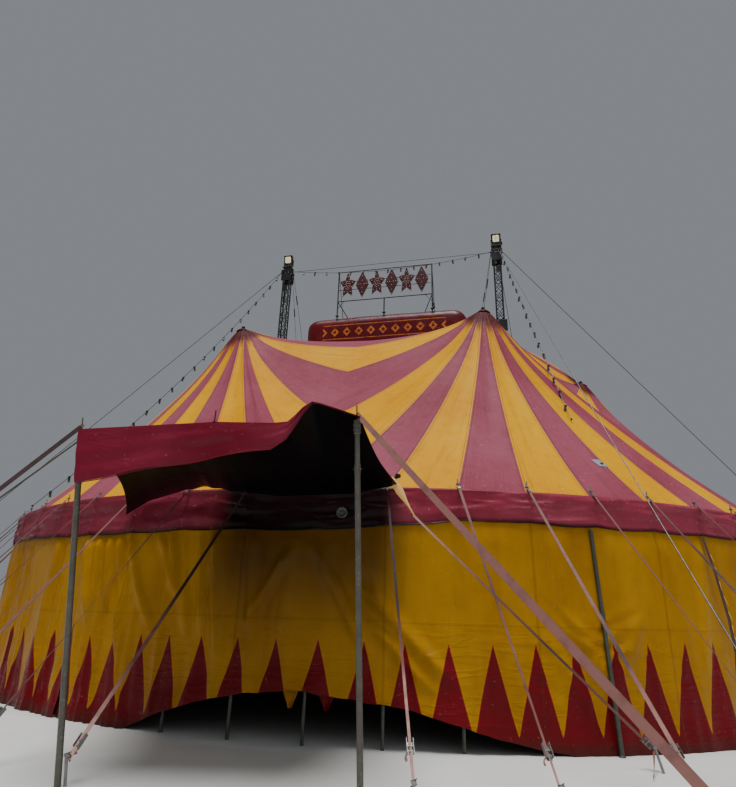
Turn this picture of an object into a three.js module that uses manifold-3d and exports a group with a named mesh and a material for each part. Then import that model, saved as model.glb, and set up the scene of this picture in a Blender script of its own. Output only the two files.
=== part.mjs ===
// A two-mast circus big top: an oval wall of striped canvas, six quarter-pole peaks,
// a cupola with a sign frame between the masts, and an entrance marquee at the front.
// Millimetres, +Z up. The origin is on the ground, in the middle of the ground that the tent
// and its stakes take up; +X runs along the line of the masts and -Y is the entrance side.
import * as THREE from 'three';
import { mergeVertices } from 'three/addons/utils/BufferGeometryUtils.js';
import Module from 'manifold-3d';

const wasm = await Module();
wasm.setup();

// Oval, eave and canvas
const PANELS = 56; // roof gores, wall bays and side poles
const EAVE_A = 9280; // half length along the mast line
const EAVE_B = 7930; // half width, front to back
const EAVE_H = 3300; // top of the roof's edge
const CANVAS = 12; // modelled thickness of the canvas
const TOUCH = 0.3; // gap between pieces that touch
const LIP = 60; // flat hem of the roof at the eave
const SLIVER = 0.05; // booleans tidy away edges shorter than this

// Quarter poles and the tops of the roof
const FRONT_PEAK = { x: 3020, y: 3790, z: 8200 };
const END_PEAK = { x: 5600, z: 7700 };
const SIDE_SAG = 550; // dip of the roof's ridge between two front peaks
const CORNER_SAG = 400; // dip between a front peak and an end peak
const PEAK_HOLE = 45; // hole in the canvas round a pole's spigot
const FLANGE = { radius: 120, depth: 20 };
const SPIGOT_R = 25;
const KNOB = { radius: 60, from: 90, to: 190 };

// Masts and cupola
const MAST_X = 3510;
const MAST_HALF = 160; // half width of the square lattice
const MAST_H = 12600;
const MAST_BAYS = 8;
const CHORD = 45;
const LACING = 26;
const LACING_END = 60; // from a lacing bar's end to the bay's
const PLATE = 15; // foot and head plates
const HEAD_BLOCK = { low: 12060, high: 12360, halfX: 200, cheek: 8, wheelR: 85, wheelHalf: 20, axleR: 14 };
const LAMP_POST = { height: 80, radius: 28 };
const LAMP = { halfX: 150, depth: 150, height: 340, tilt: 14, lift: 230, arm: 10, gap: 8 };
const RING = { x: 3850, y: 760, z: 9150 }; // rim of the roof round the cupola
const RIM_TURN_X = 2760; // where the rim meets the cloth from a front peak
const RAIL = 50;
const COVER = { halfX: 2500, halfY: 640, height: 1150, corner: 450, round: 380, wall: 20 };
const VENT = { x: 2200, y: 450 }; // way through the deck under the cover

// Sign frame above the cupola
const SIGN = { halfX: 1500, bottom: 10800, top: 11870, y: -560, tube: 30, leg: 26 };
const SIGN_BRACE = { x: 1200, y: -200, radius: 14 };
const SIGN_STAY = { y: 250, radius: 9 };
const MOTIF = { count: 6, margin: 80, railAt: 150, railHalf: 15, depth: 30, backing: 20 };
const STAR = { points: 5, outer: 290, inner: 125 };
const DIAMOND = { points: 2, outer: 400, inner: 170 };

// Wall, valance, poles and stakes
const WALL_OUT = -8; // outer face of the wall, from the eave line
const VALANCE = 470;
const SIDE_POLE_R = 24;
const QUARTER_POLE_R = 45;
const POLE_RAIL = { out: -LIP - 10, half: 18, depth: 45 };
const PIN = { radius: 9, out: -27, top: 130 };
const BELT = { inner: -50, outer: -4, depth: 6 };
const GUY = { width: 50, depth: 10, reach: 2450, high: 100 };
const STAKE = { half: 16, height: 280, lean: 60 };
const STAKE_DRIFT = 0.3; // bays by which a stake stands further from the middle than its pole
const OPEN_SEAMS = [0.5]; // no guy where people walk in
const PROP = { headBay: 4.4, footBay: 4.45, radius: 30, out: 100 }; // leans on the wall outside

// The entrance curtain's hem is lifted: [bay position from the front, height]
const LIFTED_HEM = [
  [-1.9, 0], [-1.4, 340], [-0.5, 600], [0.5, 800], [1.5, 580], [2.5, 360], [3.5, 120], [4.1, 0],
];

// Entrance marquee
const MARQUEE = {
  left: { top: [-1400, -10600, 3430], foot: [-965, -10450, 0], stake: [-3760, -12000] },
  right: { top: [1668, -10200, 3571], foot: [1803, -10095, 0], stake: [4530, -13200] },
  poleR: 31,
  headR: 37,
  headHeight: 160,
  pinR: 8,
  pinHeight: 170,
  rear: [-2.4, -1.5, -0.5, 0.5, 1.35],
  band: 460,
  narrowBand: 60,
  corner: [50, 62],
};
const STRAP = { width: 60, depth: 10, loop: 20, onPin: 90 };
const SLIT = 4; // room round a guy that passes through the canopy

// Mast guys: cables from a collar on each mast head, two hoist wires down to the cupola
const COLLAR = { z: 12380, depth: 100, band: 14 };
const LUG = 16; // half size of the lugs that hold the cables on a collar
const MAST_GUYS = {
  left: [[-12700, -4500], [-7400, 9600]],
  right: [[12690, 0], [5540, -10000], [5540, 10000]],
};
const MAST_GUY_R = 8;
const HOIST = { x: 2800, y: 420, radius: 6, pad: 30, at: 60, lug: 12 };
const TOP_WIRE = { z: 12455, radius: 7 };

// Festoon strings: cable radius, sag and the fittings at their ends
const FESTOON = { radius: 6, steps: 24, block: 15, y: -100, z: 12410 };
const FESTOON_TOP_SAG = 300;
const FESTOON_LEFT = { seam: -6.5, sag: 450 };
const FESTOON_RIGHT = { bay: 5.85, down: 0.58, sag: 60, plate: 60, depth: 20 };

const COLOUR = {
  yellow: 0xc49848,
  wallYellow: 0xb98a12,
  rose: 0x9b5c69,
  red: 0x7a2036,
  steel: 0x5a5f5f,
  dark: 0x2b2c2e,
  strap: 0x8d8177,
  galvanised: 0x8c9293,
};

const part = new THREE.Group();

function add(name, shape, color, roughness = 0.6, metalness = 0) {
  const geometry = shape.isBufferGeometry ? shape : toGeometry(shape);
  const material = new THREE.MeshStandardMaterial({ color, roughness, metalness });
  const mesh = new THREE.Mesh(geometry, material);
  mesh.name = name;
  part.add(mesh);
}

// Solids and booleans

function toSolid(geometry) {
  const plain = geometry.clone();
  for (const name of Object.keys(plain.attributes)) {
    if (name !== 'position') plain.deleteAttribute(name);
  }
  const merged = mergeVertices(plain.index ? plain.toNonIndexed() : plain, 1e-3);
  return new wasm.Manifold(new wasm.Mesh({
    numProp: 3,
    vertProperties: Float32Array.from(merged.attributes.position.array),
    triVerts: Uint32Array.from(merged.index.array),
  }));
}

function toGeometry(solid) {
  const mesh = solid.getMesh();
  const geometry = new THREE.BufferGeometry();
  geometry.setAttribute('position', new THREE.BufferAttribute(Float32Array.from(mesh.vertProperties), 3));
  geometry.setIndex(new THREE.BufferAttribute(Uint32Array.from(mesh.triVerts), 1));
  geometry.computeVertexNormals();
  return geometry;
}

function fuse(geometries) {
  return geometries.map(toSolid).reduce((whole, piece) => whole.add(piece)).asOriginal().simplify(SLIVER);
}

function vec(point) {
  return new THREE.Vector3(...point);
}

// A bar of rectangular section from one point to another
function bar(from, to, width, depth = width) {
  const start = vec(from);
  const along = vec(to).sub(start);
  const geometry = new THREE.BoxGeometry(width, depth, along.length());
  const upright = Math.abs(along.x) + Math.abs(along.y) < 1;
  const up = upright ? new THREE.Vector3(1, 0, 0) : new THREE.Vector3(0, 0, 1);
  const axis = along.clone().normalize();
  const side = new THREE.Vector3().crossVectors(up, axis).normalize();
  const frame = new THREE.Matrix4().makeBasis(side, new THREE.Vector3().crossVectors(axis, side), axis);
  frame.setPosition(start.addScaledVector(along, 0.5));
  return geometry.applyMatrix4(frame);
}

// A round rod, turned from a list of [radius, distance] about the line between two points
function rod(from, to, radius, sides = 6) {
  const length = vec(to).sub(vec(from)).length();
  return turned(from, to, [[0, 0], [radius, 0], [radius, length], [0, length]], sides);
}

function turned(from, to, profile, sides, start = 0) {
  const axis = vec(to).sub(vec(from)).normalize();
  const geometry = new THREE.LatheGeometry(profile.map(([r, d]) => new THREE.Vector2(r, d)), sides, start);
  geometry.applyQuaternion(new THREE.Quaternion().setFromUnitVectors(new THREE.Vector3(0, 1, 0), axis));
  return geometry.translate(...from);
}

// A rectangular THREE.Shape, or THREE.Path for a hole in one
function rect(Kind, x0, x1, y0, y1) {
  const path = new Kind();
  path.moveTo(x0, y0);
  path.lineTo(x1, y0);
  path.lineTo(x1, y1);
  path.lineTo(x0, y1);
  path.closePath();
  return path;
}

function box(x0, x1, y0, y1, z0, z1) {
  const block = new THREE.BoxGeometry(x1 - x0, y1 - y0, z1 - z0);
  return block.translate((x0 + x1) / 2, (y0 + y1) / 2, (z0 + z1) / 2);
}

function cube(centre, half) {
  const [x, y, z] = centre;
  return box(x - half, x + half, y - half, y + half, z - half, z + half);
}

// An upright or leaning bar of regular section, cut off level at both ends
function leaning(foot, head, radius, sides, start = Math.PI / sides) {
  const points = [foot, head].flatMap((centre) => Array.from({ length: sides }, (_, j) => {
    const a = start + (2 * Math.PI * j) / sides;
    return new THREE.Vector3(centre.x + radius * Math.cos(a), centre.y + radius * Math.sin(a), centre.z);
  }));
  const index = [];
  for (let j = 0; j < sides; j++) {
    const k = (j + 1) % sides;
    index.push(j, k, k + sides, j, k + sides, j + sides);
  }
  for (let j = 1; j + 1 < sides; j++) index.push(0, j + 1, j, sides, sides + j, sides + j + 1);
  return surface(points, index);
}

// A stake leans away from its guy and is cut off level at the ground
function stake(foot, head) {
  return leaning(foot, head, STAKE.half * Math.SQRT2, 4);
}

// A cord that hangs from one point to another
function cord(from, to, sag, radius) {
  const [start, end] = [vec(from), vec(to)];
  const control = start.clone().lerp(end, 0.5).setZ((start.z + end.z) / 2 - 2 * sag);
  const path = new THREE.QuadraticBezierCurve3(start, control, end);
  const circle = new THREE.Shape();
  circle.absarc(0, 0, radius, 0, 2 * Math.PI);
  const options = { extrudePath: path, steps: FESTOON.steps, bevelEnabled: false, curveSegments: 6 };
  return new THREE.ExtrudeGeometry(circle, options);
}

function surface(points, index) {
  const geometry = new THREE.BufferGeometry();
  const values = points.flatMap((p) => [p.x, p.y, p.z]);
  geometry.setAttribute('position', new THREE.Float32BufferAttribute(values, 3));
  geometry.setIndex(index);
  geometry.computeVertexNormals();
  return geometry;
}

// Closes a sheet of points and faces into a solid, each point moved by its own offset
function thicken(points, faces, offsets) {
  const count = points.length;
  const all = [...points, ...points.map((p, i) => p.clone().add(offsets[i]))];
  const index = [];
  const edges = new Map();
  for (const [a, b, c] of faces) {
    index.push(a, b, c, a + count, c + count, b + count);
    for (const [from, to] of [[a, b], [b, c], [c, a]]) edges.set(`${from},${to}`, [from, to]);
  }
  for (const [from, to] of edges.values()) {
    if (edges.has(`${to},${from}`)) continue;
    index.push(from, from + count, to + count, from, to + count, to);
  }
  return surface(all, index);
}

// The oval: places along the eave are counted in bays from the middle of the front,
// with a side pole and a roof seam at every half number

function seamPoint(bay, out, z) {
  const turn = (bay * 2 * Math.PI) / PANELS;
  const normal = new THREE.Vector2(Math.sin(turn) / EAVE_A, -Math.cos(turn) / EAVE_B).normalize();
  return new THREE.Vector3(
    EAVE_A * Math.sin(turn) + normal.x * out,
    -EAVE_B * Math.cos(turn) + normal.y * out,
    z,
  );
}

function eavePoint(bay, out, z) {
  const before = Math.floor(bay - 0.5) + 0.5;
  return seamPoint(before, out, z).lerp(seamPoint(before + 1, out, z), bay - before);
}

// Sweeps a section of [out, z] points along the eave from one bay place to another
function sweep(stations, sectionAt) {
  const rings = stations.map((bay) => sectionAt(bay).map(([out, z]) => eavePoint(bay, out, z)));
  const size = rings[0].length;
  const points = rings.flat();
  const index = [];
  for (let i = 0; i + 1 < rings.length; i++) {
    for (let j = 0; j < size; j++) {
      const a = i * size + j;
      const b = i * size + ((j + 1) % size);
      index.push(a, a + size, b + size, a, b + size, b);
    }
  }
  const last = (rings.length - 1) * size;
  for (let j = 1; j + 1 < size; j++) {
    index.push(0, j, j + 1, last, last + j + 1, last + j);
  }
  return surface(points, index);
}

function rectangle(inner, outer, bottom, top) {
  return [[inner, bottom], [outer, bottom], [outer, top], [inner, top]];
}

// Stations from one seam to another, drawn in a hair at both ends
function bayStations(from, to, perBay = 1) {
  const stations = [];
  for (let i = 0; i <= (to - from) * perBay; i++) stations.push(from + i / perBay);
  const hair = 0.0002;
  stations[0] += hair;
  stations[stations.length - 1] -= hair;
  return stations;
}

// Roof: six fans of gores hang from the quarter poles to the eave, and a crown
// rises inside them to the cupola's rim

const FRONT = FRONT_PEAK;
const FANS = [
  { name: 'front_right', peak: [FRONT.x, -FRONT.y, FRONT.z], from: 0, to: 10 },
  { name: 'right_end', peak: [END_PEAK.x, 0, END_PEAK.z], from: 10, to: 18 },
  { name: 'rear_right', peak: [FRONT.x, FRONT.y, FRONT.z], from: 18, to: 28 },
  { name: 'rear_left', peak: [-FRONT.x, FRONT.y, FRONT.z], from: 28, to: 38 },
  { name: 'left_end', peak: [-END_PEAK.x, 0, END_PEAK.z], from: 38, to: 46 },
  { name: 'front_left', peak: [-FRONT.x, -FRONT.y, FRONT.z], from: 46, to: 56 },
];
const VALLEY_PLACES = [0, 0.172, 0.5, 0.76, 1]; // where chevron tips and seams meet a valley
const VALLEY_CURVE = 0.33;
const SEAM_CURVE = 0.25;
const RAY_STEPS = [0, 0.2, 0.42, 0.68, 1];

function hang(s, curve) {
  return s + curve * s * (1 - s);
}

function ridgeMiddle(a, b) {
  const sag = a.peak[0] * b.peak[0] < 0 ? SIDE_SAG : CORNER_SAG;
  const middle = vec(a.peak).lerp(vec(b.peak), 0.5);
  return middle.setZ(middle.z - sag);
}

// Points down the valley between two fans, each held back from it towards its own peak
function valley(a, b, bay, peak) {
  const top = ridgeMiddle(a, b);
  const foot = eavePoint(bay, -LIP, EAVE_H);
  const across = new THREE.Vector3(foot.y - top.y, top.x - foot.x, 0).normalize();
  const side = Math.sign(across.dot(peak.clone().sub(top)));
  const points = VALLEY_PLACES.map((t) => {
    const point = top.clone().lerp(foot, t);
    point.z = top.z + (foot.z - top.z) * hang(t, VALLEY_CURVE);
    return point.addScaledVector(across, (side * TOUCH) / 2);
  });
  const edge = eavePoint(bay, 0, EAVE_H).addScaledVector(across, (side * TOUCH) / 2);
  return { points, edge };
}

// The upper side of one fan, as points and faces
function fanSheet(i) {
  const fan = FANS[i];
  const peak = vec(fan.peak);
  const first = valley(FANS[(i + 5) % 6], fan, fan.from, peak);
  const last = valley(fan, FANS[(i + 1) % 6], fan.to, peak);
  const rays = [];
  const curveAt = (j) => 1 + (SEAM_CURVE - 1) * VALLEY_PLACES[j];
  first.points.forEach((end, j) => rays.push({ end, curve: curveAt(j) }));
  rays.at(-1).edge = first.edge;
  for (let bay = fan.from + 0.5; bay < fan.to; bay++) {
    rays.push({ end: seamPoint(bay, -LIP, EAVE_H), curve: SEAM_CURVE, edge: seamPoint(bay, 0, EAVE_H) });
  }
  const down = last.points.map((end, j) => ({ end, curve: curveAt(j) }));
  down.at(-1).edge = last.edge;
  rays.push(...down.reverse());

  const points = [];
  const faces = [];
  const rows = RAY_STEPS.length;
  for (const ray of rays) {
    const length = Math.hypot(ray.end.x - peak.x, ray.end.y - peak.y);
    const start = PEAK_HOLE / length;
    for (const step of RAY_STEPS) {
      const s = start + (1 - start) * step;
      const point = peak.clone().lerp(ray.end, s);
      point.z = peak.z + (ray.end.z - peak.z) * hang(s, ray.curve);
      points.push(point);
    }
  }
  for (let r = 0; r + 1 < rays.length; r++) {
    for (let k = 0; k + 1 < rows; k++) {
      const a = r * rows + k;
      const b = a + rows;
      faces.push([a, a + 1, b + 1], [a, b + 1, b]);
    }
    if (!rays[r].edge || !rays[r + 1].edge) continue;
    const a = r * rows + rows - 1;
    const b = a + rows;
    const edgeA = points.length;
    points.push(rays[r].edge, rays[r + 1].edge);
    faces.push([a, edgeA, edgeA + 1], [a, edgeA + 1, b]);
  }
  return { points, faces };
}

// The facet of a sheet over a place in plan: the point on it and its upward normal
function facetAt({ points, faces }, x, y) {
  for (const face of faces) {
    const triangle = new THREE.Triangle(...face.map((v) => points[v]));
    const plane = triangle.getPlane(new THREE.Plane());
    const z = -(plane.constant + plane.normal.x * x + plane.normal.y * y) / plane.normal.z;
    const point = new THREE.Vector3(x, y, z);
    if (triangle.containsPoint(point)) return { point, normal: plane.normal };
  }
  throw new Error('no canvas over that place');
}

// Points that fall on one another are made one, then the sheet gets its thickness downwards
function weldAndThicken({ points, faces }) {
  const seen = new Map();
  const kept = [];
  const renumbered = points.map((p) => {
    const key = [p.x, p.y, p.z].map((v) => v.toFixed(2)).join();
    if (!seen.has(key)) {
      seen.set(key, kept.length);
      kept.push(p);
    }
    return seen.get(key);
  });
  const whole = faces.map((f) => f.map((v) => renumbered[v]));
  return thicken(kept, whole, kept.map(() => new THREE.Vector3(0, 0, -CANVAS)));
}

// One half of the crown, from the ridge between the peaks up to the cupola's rim
function crownHalf(front) {
  const y = front ? -1 : 1;
  const inset = 1 - 0.0001; // keeps the crown just inside the fans
  const order = front ? [4, 5, 0, 1] : [4, 3, 2, 1];
  const fans = order.map((i) => FANS[i]);
  const rims = [[-RING.x, 0], [-RIM_TURN_X, RING.y * y], [RIM_TURN_X, RING.y * y], [RING.x, 0]];
  const middleRims = [[-RING.x, RING.y * y], [0, RING.y * y], [RING.x, RING.y * y]];
  const columns = [];
  const flat = (point) => new THREE.Vector2(point.x, point.y);
  const half = (peak, peakRim, middle, middleRim) => {
    const at = flat(peak);
    const places = [PEAK_HOLE / at.distanceTo(flat(middle)), 0.3, 0.62];
    return places.map((s) => ({
      at: at.clone().lerp(flat(middle), s),
      z: peak.z + (middle.z - peak.z) * hang(s, 1),
      rim: peakRim.clone().lerp(middleRim, s),
    }));
  };
  fans.forEach((fan, i) => {
    const peak = vec(fan.peak);
    const rim = new THREE.Vector2(...rims[i]);
    const inward = rim.clone().sub(flat(peak)).normalize();
    if (i > 0) {
      const middle = ridgeMiddle(fans[i - 1], fan);
      columns.push(...half(peak, rim, middle, new THREE.Vector2(...middleRims[i - 1])).reverse());
    }
    columns.push({ at: flat(peak).addScaledVector(inward, PEAK_HOLE), z: peak.z, rim });
    if (i + 1 < fans.length) {
      const middle = ridgeMiddle(fan, fans[i + 1]);
      const middleRim = new THREE.Vector2(...middleRims[i]);
      columns.push(...half(peak, rim, middle, middleRim));
      columns.push({ at: flat(middle), z: middle.z, rim: middleRim });
    }
  });
  const points = [];
  const faces = [];
  const steps = [0, 0.3, 0.65, 1];
  const halfGap = (TOUCH / 2) * y;
  for (const column of columns) {
    for (const s of steps) {
      const plan = column.at.clone().multiplyScalar(inset).lerp(column.rim, s);
      if (Math.abs(plan.y) < 1) plan.y = halfGap;
      points.push(new THREE.Vector3(plan.x, plan.y, column.z + (RING.z - column.z) * hang(s, -0.32)));
    }
  }
  for (let c = 0; c + 1 < columns.length; c++) {
    for (let k = 0; k + 1 < steps.length; k++) {
      const a = c * steps.length + k;
      const b = a + steps.length;
      faces.push(front ? [a, b, b + 1] : [a, b + 1, b], front ? [a, b + 1, a + 1] : [a, a + 1, b + 1]);
    }
  }
  return weldAndThicken({ points, faces });
}

FANS.forEach((fan, i) => add(`roof_${fan.name}`, weldAndThicken(fanSheet(i)), COLOUR.yellow));
add('roof_crown_front', crownHalf(true), COLOUR.rose);
add('roof_crown_rear', crownHalf(false), COLOUR.rose);

// Quarter poles: a tube with a flange under the canvas and a spigot and knob above it

// Where the canvas is lowest over the flange's rim: its height and its direction from the pole
function flangeSeat(fan) {
  const peak = vec(fan.peak);
  let seat = { z: peak.z, angle: 0 };
  for (let bay = fan.from + 0.5; bay < fan.to; bay++) {
    const end = seamPoint(bay, -LIP, EAVE_H);
    const length = Math.hypot(end.x - peak.x, end.y - peak.y);
    const start = PEAK_HOLE / length;
    const next = start + (1 - start) * RAY_STEPS[1];
    const [z0, z1] = [start, next].map((s) => peak.z + (end.z - peak.z) * hang(s, SEAM_CURVE));
    const share = (FLANGE.radius / length - start) / (next - start);
    const z = z0 + (z1 - z0) * share - CANVAS - TOUCH;
    if (z < seat.z) seat = { z, angle: Math.atan2(end.y - peak.y, end.x - peak.x) };
  }
  return seat;
}

FANS.forEach((fan) => {
  const { z: top, angle } = flangeSeat(fan);
  const [x, y, z] = fan.peak;
  const profile = [
    [0, 0], [QUARTER_POLE_R, 0], [QUARTER_POLE_R, top - FLANGE.depth],
    [FLANGE.radius, top - FLANGE.depth], [FLANGE.radius, top],
    [SPIGOT_R, top], [SPIGOT_R, z + KNOB.from], [KNOB.radius, z + KNOB.from],
    [KNOB.radius, z + KNOB.to], [0, z + KNOB.to],
  ];
  const pole = turned([x, y, 0], [x, y, 1], profile, 8, Math.PI / 2 + angle);
  add(`quarter_pole_${fan.name}`, toSolid(pole), COLOUR.steel, 0.5, 0.5);
});

// Walls: canvas from the eave to the ground; the front one is the entrance curtain

const WALL_BAYS = 8;
const WALL_TOP = EAVE_H - CANVAS - TOUCH;

function hemHeight(bay) {
  const after = LIFTED_HEM.findIndex(([place]) => place > bay);
  if (after <= 0) return 0;
  const [a, low] = LIFTED_HEM[after - 1];
  const [b, high] = LIFTED_HEM[after];
  return low + ((high - low) * (bay - a)) / (b - a);
}

const WALL_NAMES = [
  'entrance_curtain', 'wall_front_right', 'wall_right', 'wall_rear_right',
  'wall_rear_left', 'wall_left', 'wall_front_left',
];
WALL_NAMES.forEach((name, i) => {
  const from = -3.5 + i * WALL_BAYS;
  const stations = bayStations(from, from + WALL_BAYS, i === 0 ? 2 : 1);
  const hem = i === 0 ? hemHeight : () => 0;
  const section = (bay) => rectangle(WALL_OUT - CANVAS, WALL_OUT, hem(bay), WALL_TOP);
  add(name, sweep(stations, section), COLOUR.wallYellow, 0.45);
});

// Valance: the band that hangs over the top of the wall
for (const [name, from] of [['valance_front', -14.5], ['valance_rear', 13.5]]) {
  const section = () => rectangle(TOUCH, TOUCH + CANVAS, EAVE_H - VALANCE, EAVE_H + CANVAS);
  add(name, sweep(bayStations(from, from + PANELS / 2), section), COLOUR.red, 0.5);
}

// Side poles stand inside the wall, joined by the rail that they carry under the roof's edge
const QUARTERS = [['front', -7.5], ['right', 6.5], ['rear', 20.5], ['left', 34.5]];
const QUARTER_BAYS = PANELS / 4;
const POLE_TOP = WALL_TOP - 20; // inside the rail

// Stations from just past one seam to just short of the seam after the last of a group
function groupStations(from, bays) {
  const seams = Array.from({ length: bays }, (_, i) => from + i + 1);
  return { seams, stations: [from + 0.55, ...seams, from + bays + 0.45] };
}

for (const [name, from] of QUARTERS) {
  const { seams, stations } = groupStations(from, QUARTER_BAYS);
  const poles = seams.map((seam) => {
    const foot = seamPoint(seam, POLE_RAIL.out, 0);
    return rod(foot.toArray(), [foot.x, foot.y, POLE_TOP], SIDE_POLE_R);
  });
  const [inner, outer] = [POLE_RAIL.out - POLE_RAIL.half, POLE_RAIL.out + POLE_RAIL.half];
  const rail = sweep(stations, () => rectangle(inner, outer, WALL_TOP - POLE_RAIL.depth, WALL_TOP));
  add(`side_poles_${name}`, fuse([rail, ...poles]), COLOUR.steel, 0.5, 0.5);
}

// Eave belts: webbing on the roof's hem with the poles' pins, the guys and their stakes
const GUY_GROUPS = [
  'front_right', 'right_front', 'right_rear', 'rear_right',
  'rear_left', 'left_rear', 'left_front', 'front_left',
];
const GROUP_BAYS = PANELS / GUY_GROUPS.length;

// The bay beside which a seam's stake stands
function stakeBay(seam) {
  return seam + STAKE_DRIFT * Math.sign(Math.sin((seam * 4 * Math.PI) / PANELS));
}

// The two ends of a seam's guy
function guyEnds(seam) {
  const high = seamPoint(seam, PIN.out, EAVE_H + GUY.high);
  const low = seamPoint(stakeBay(seam), GUY.reach - STAKE.lean / 2, STAKE.height - STAKE.lean);
  return [high.toArray(), low.toArray()];
}

GUY_GROUPS.forEach((name, i) => {
  const { seams, stations } = groupStations(i * GROUP_BAYS - 0.5, GROUP_BAYS);
  const beltZ = EAVE_H + TOUCH;
  const section = rectangle(BELT.inner, BELT.outer, beltZ, beltZ + BELT.depth);
  const pieces = [sweep(stations, () => section)];
  for (const seam of seams) {
    const pin = seamPoint(seam, PIN.out, beltZ + 1);
    pieces.push(rod(pin.toArray(), [pin.x, pin.y, EAVE_H + PIN.top], PIN.radius, 4));
    if (OPEN_SEAMS.includes(seam)) continue;
    const bay = stakeBay(seam);
    const foot = seamPoint(bay, GUY.reach - STAKE.lean, 0);
    const head = seamPoint(bay, GUY.reach, STAKE.height);
    pieces.push(bar(...guyEnds(seam), GUY.width, GUY.depth), stake(foot, head));
  }
  add(`eave_guys_${name}`, fuse(pieces), COLOUR.strap, 0.8);
});

// A pole props the wall from outside, its head just under the valance
const propHead = eavePoint(PROP.headBay, WALL_OUT + TOUCH + PROP.radius, EAVE_H - VALANCE - 1);
const propFoot = eavePoint(PROP.footBay, PROP.out, 0);
const propTurn = Math.atan2(seamPoint(PROP.headBay, 0, 0).y - seamPoint(PROP.headBay, 1, 0).y,
  seamPoint(PROP.headBay, 0, 0).x - seamPoint(PROP.headBay, 1, 0).x);
add('wall_prop', leaning(propFoot, propHead, PROP.radius, 8, propTurn), COLOUR.steel, 0.5, 0.5);

// Masts: square lattices from the ground to above the cupola
function mast(x) {
  const reach = MAST_HALF - CHORD / 2;
  const corners = [[-reach, -reach], [reach, -reach], [reach, reach], [-reach, reach]];
  const pieces = corners.map(([dx, dy]) => box(
    x + dx - CHORD / 2, x + dx + CHORD / 2, dy - CHORD / 2, dy + CHORD / 2, 0, MAST_H,
  ));
  pieces.push(box(x - MAST_HALF, x + MAST_HALF, -MAST_HALF, MAST_HALF, MAST_H - 1, MAST_H + PLATE));
  pieces.push(box(x - MAST_HALF, x + MAST_HALF, -MAST_HALF, MAST_HALF, 0, PLATE));
  pieces.push(rod([x, 0, MAST_H + 1], [x, 0, MAST_H + LAMP_POST.height], LAMP_POST.radius, 6));
  pieces.push(...headBlock(x));
  const bay = MAST_H / MAST_BAYS;
  for (let i = 0; i < MAST_BAYS; i++) {
    corners.forEach(([ax, ay], side) => {
      const [bx, by] = corners[(side + 1) % 4];
      const z = i * bay;
      if (i > 0) pieces.push(bar([x + ax, ay, z], [x + bx, by, z], LACING));
      const [low, high] = (i + side) % 2 ? [[bx, by], [ax, ay]] : [[ax, ay], [bx, by]];
      const [z0, z1] = [z + LACING_END, z + bay - LACING_END];
      pieces.push(bar([x + low[0], low[1], z0], [x + high[0], high[1], z1], LACING));
    });
  }
  return fuse(pieces);
}

// Two cheek plates below a mast's head with a pair of hoist wheels between them
function headBlock(x) {
  const { low, high, halfX, cheek, wheelR, wheelHalf, axleR } = HEAD_BLOCK;
  const out = MAST_HALF + cheek;
  const pieces = [
    box(x - halfX, x + halfX, -out, -MAST_HALF + 1, low, high),
    box(x - halfX, x + halfX, MAST_HALF - 1, out, low, high),
  ];
  for (const z of [low + 60, high - 60]) {
    pieces.push(rod([x, -wheelHalf, z], [x, wheelHalf, z], wheelR, 10));
    pieces.push(rod([x, -out + 2, z], [x, out - 2, z], axleR, 6));
  }
  return pieces;
}

const SIDES = [['left', -1], ['right', 1]];
for (const [name, s] of SIDES) add(`mast_${name}`, mast(s * MAST_X), COLOUR.dark, 0.5, 0.6);

// Floodlights on a yoke at each mast head, turned down towards the front
for (const [name, s] of SIDES) {
  const x = s * MAST_X;
  const z = MAST_H + LAMP_POST.height + TOUCH;
  const { halfX, depth, height, lift, arm, gap } = LAMP;
  const tilt = THREE.MathUtils.degToRad(LAMP.tilt);
  const armX = halfX + gap;
  const housing = new THREE.BoxGeometry(2 * halfX - 20, depth, height - 20);
  housing.rotateX(tilt).translate(x, 0, z + lift);
  const visor = new THREE.BoxGeometry(2 * halfX, depth / 4, height);
  visor.translate(0, -depth / 2 - 10, 0).rotateX(tilt).translate(x, 0, z + lift);
  const yoke = [
    box(x - armX - arm, x + armX + arm, -25, 25, z, z + arm),
    box(x - armX - arm, x - armX, -25, 25, z, z + lift + 20),
    box(x + armX, x + armX + arm, -25, 25, z, z + lift + 20),
    bar([x - armX - 1, 0, z + lift], [x + armX + 1, 0, z + lift], 24),
  ];
  add(`floodlight_${name}`, fuse([housing, visor, ...yoke]), COLOUR.dark, 0.4, 0.3);
}

// Cupola frame: a ladder of square tube round both masts, under the rim of the roof
const FRAME_TOP = RING.z - CANVAS - TOUCH;
function cupolaFrame() {
  const z0 = FRAME_TOP - RAIL;
  const half = RAIL / 2;
  const { x, y } = RING;
  const pieces = [
    box(-x + TOUCH, x - TOUCH, -y + TOUCH, -y + RAIL, z0, FRAME_TOP),
    box(-x + TOUCH, x - TOUCH, y - RAIL, y - TOUCH, z0, FRAME_TOP),
  ];
  const beside = MAST_HALF + TOUCH + half;
  const rungs = [x - half - TOUCH, MAST_X + beside, MAST_X - beside, HOIST.x, SIGN.halfX];
  for (const at of [0, ...rungs, ...rungs.map((rung) => -rung)]) {
    pieces.push(box(at - half, at + half, -y + RAIL - 5, y - RAIL + 5, z0 + 1, FRAME_TOP));
  }
  return fuse(pieces);
}
add('cupola_frame', cupolaFrame(), COLOUR.steel, 0.5, 0.5);

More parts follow.
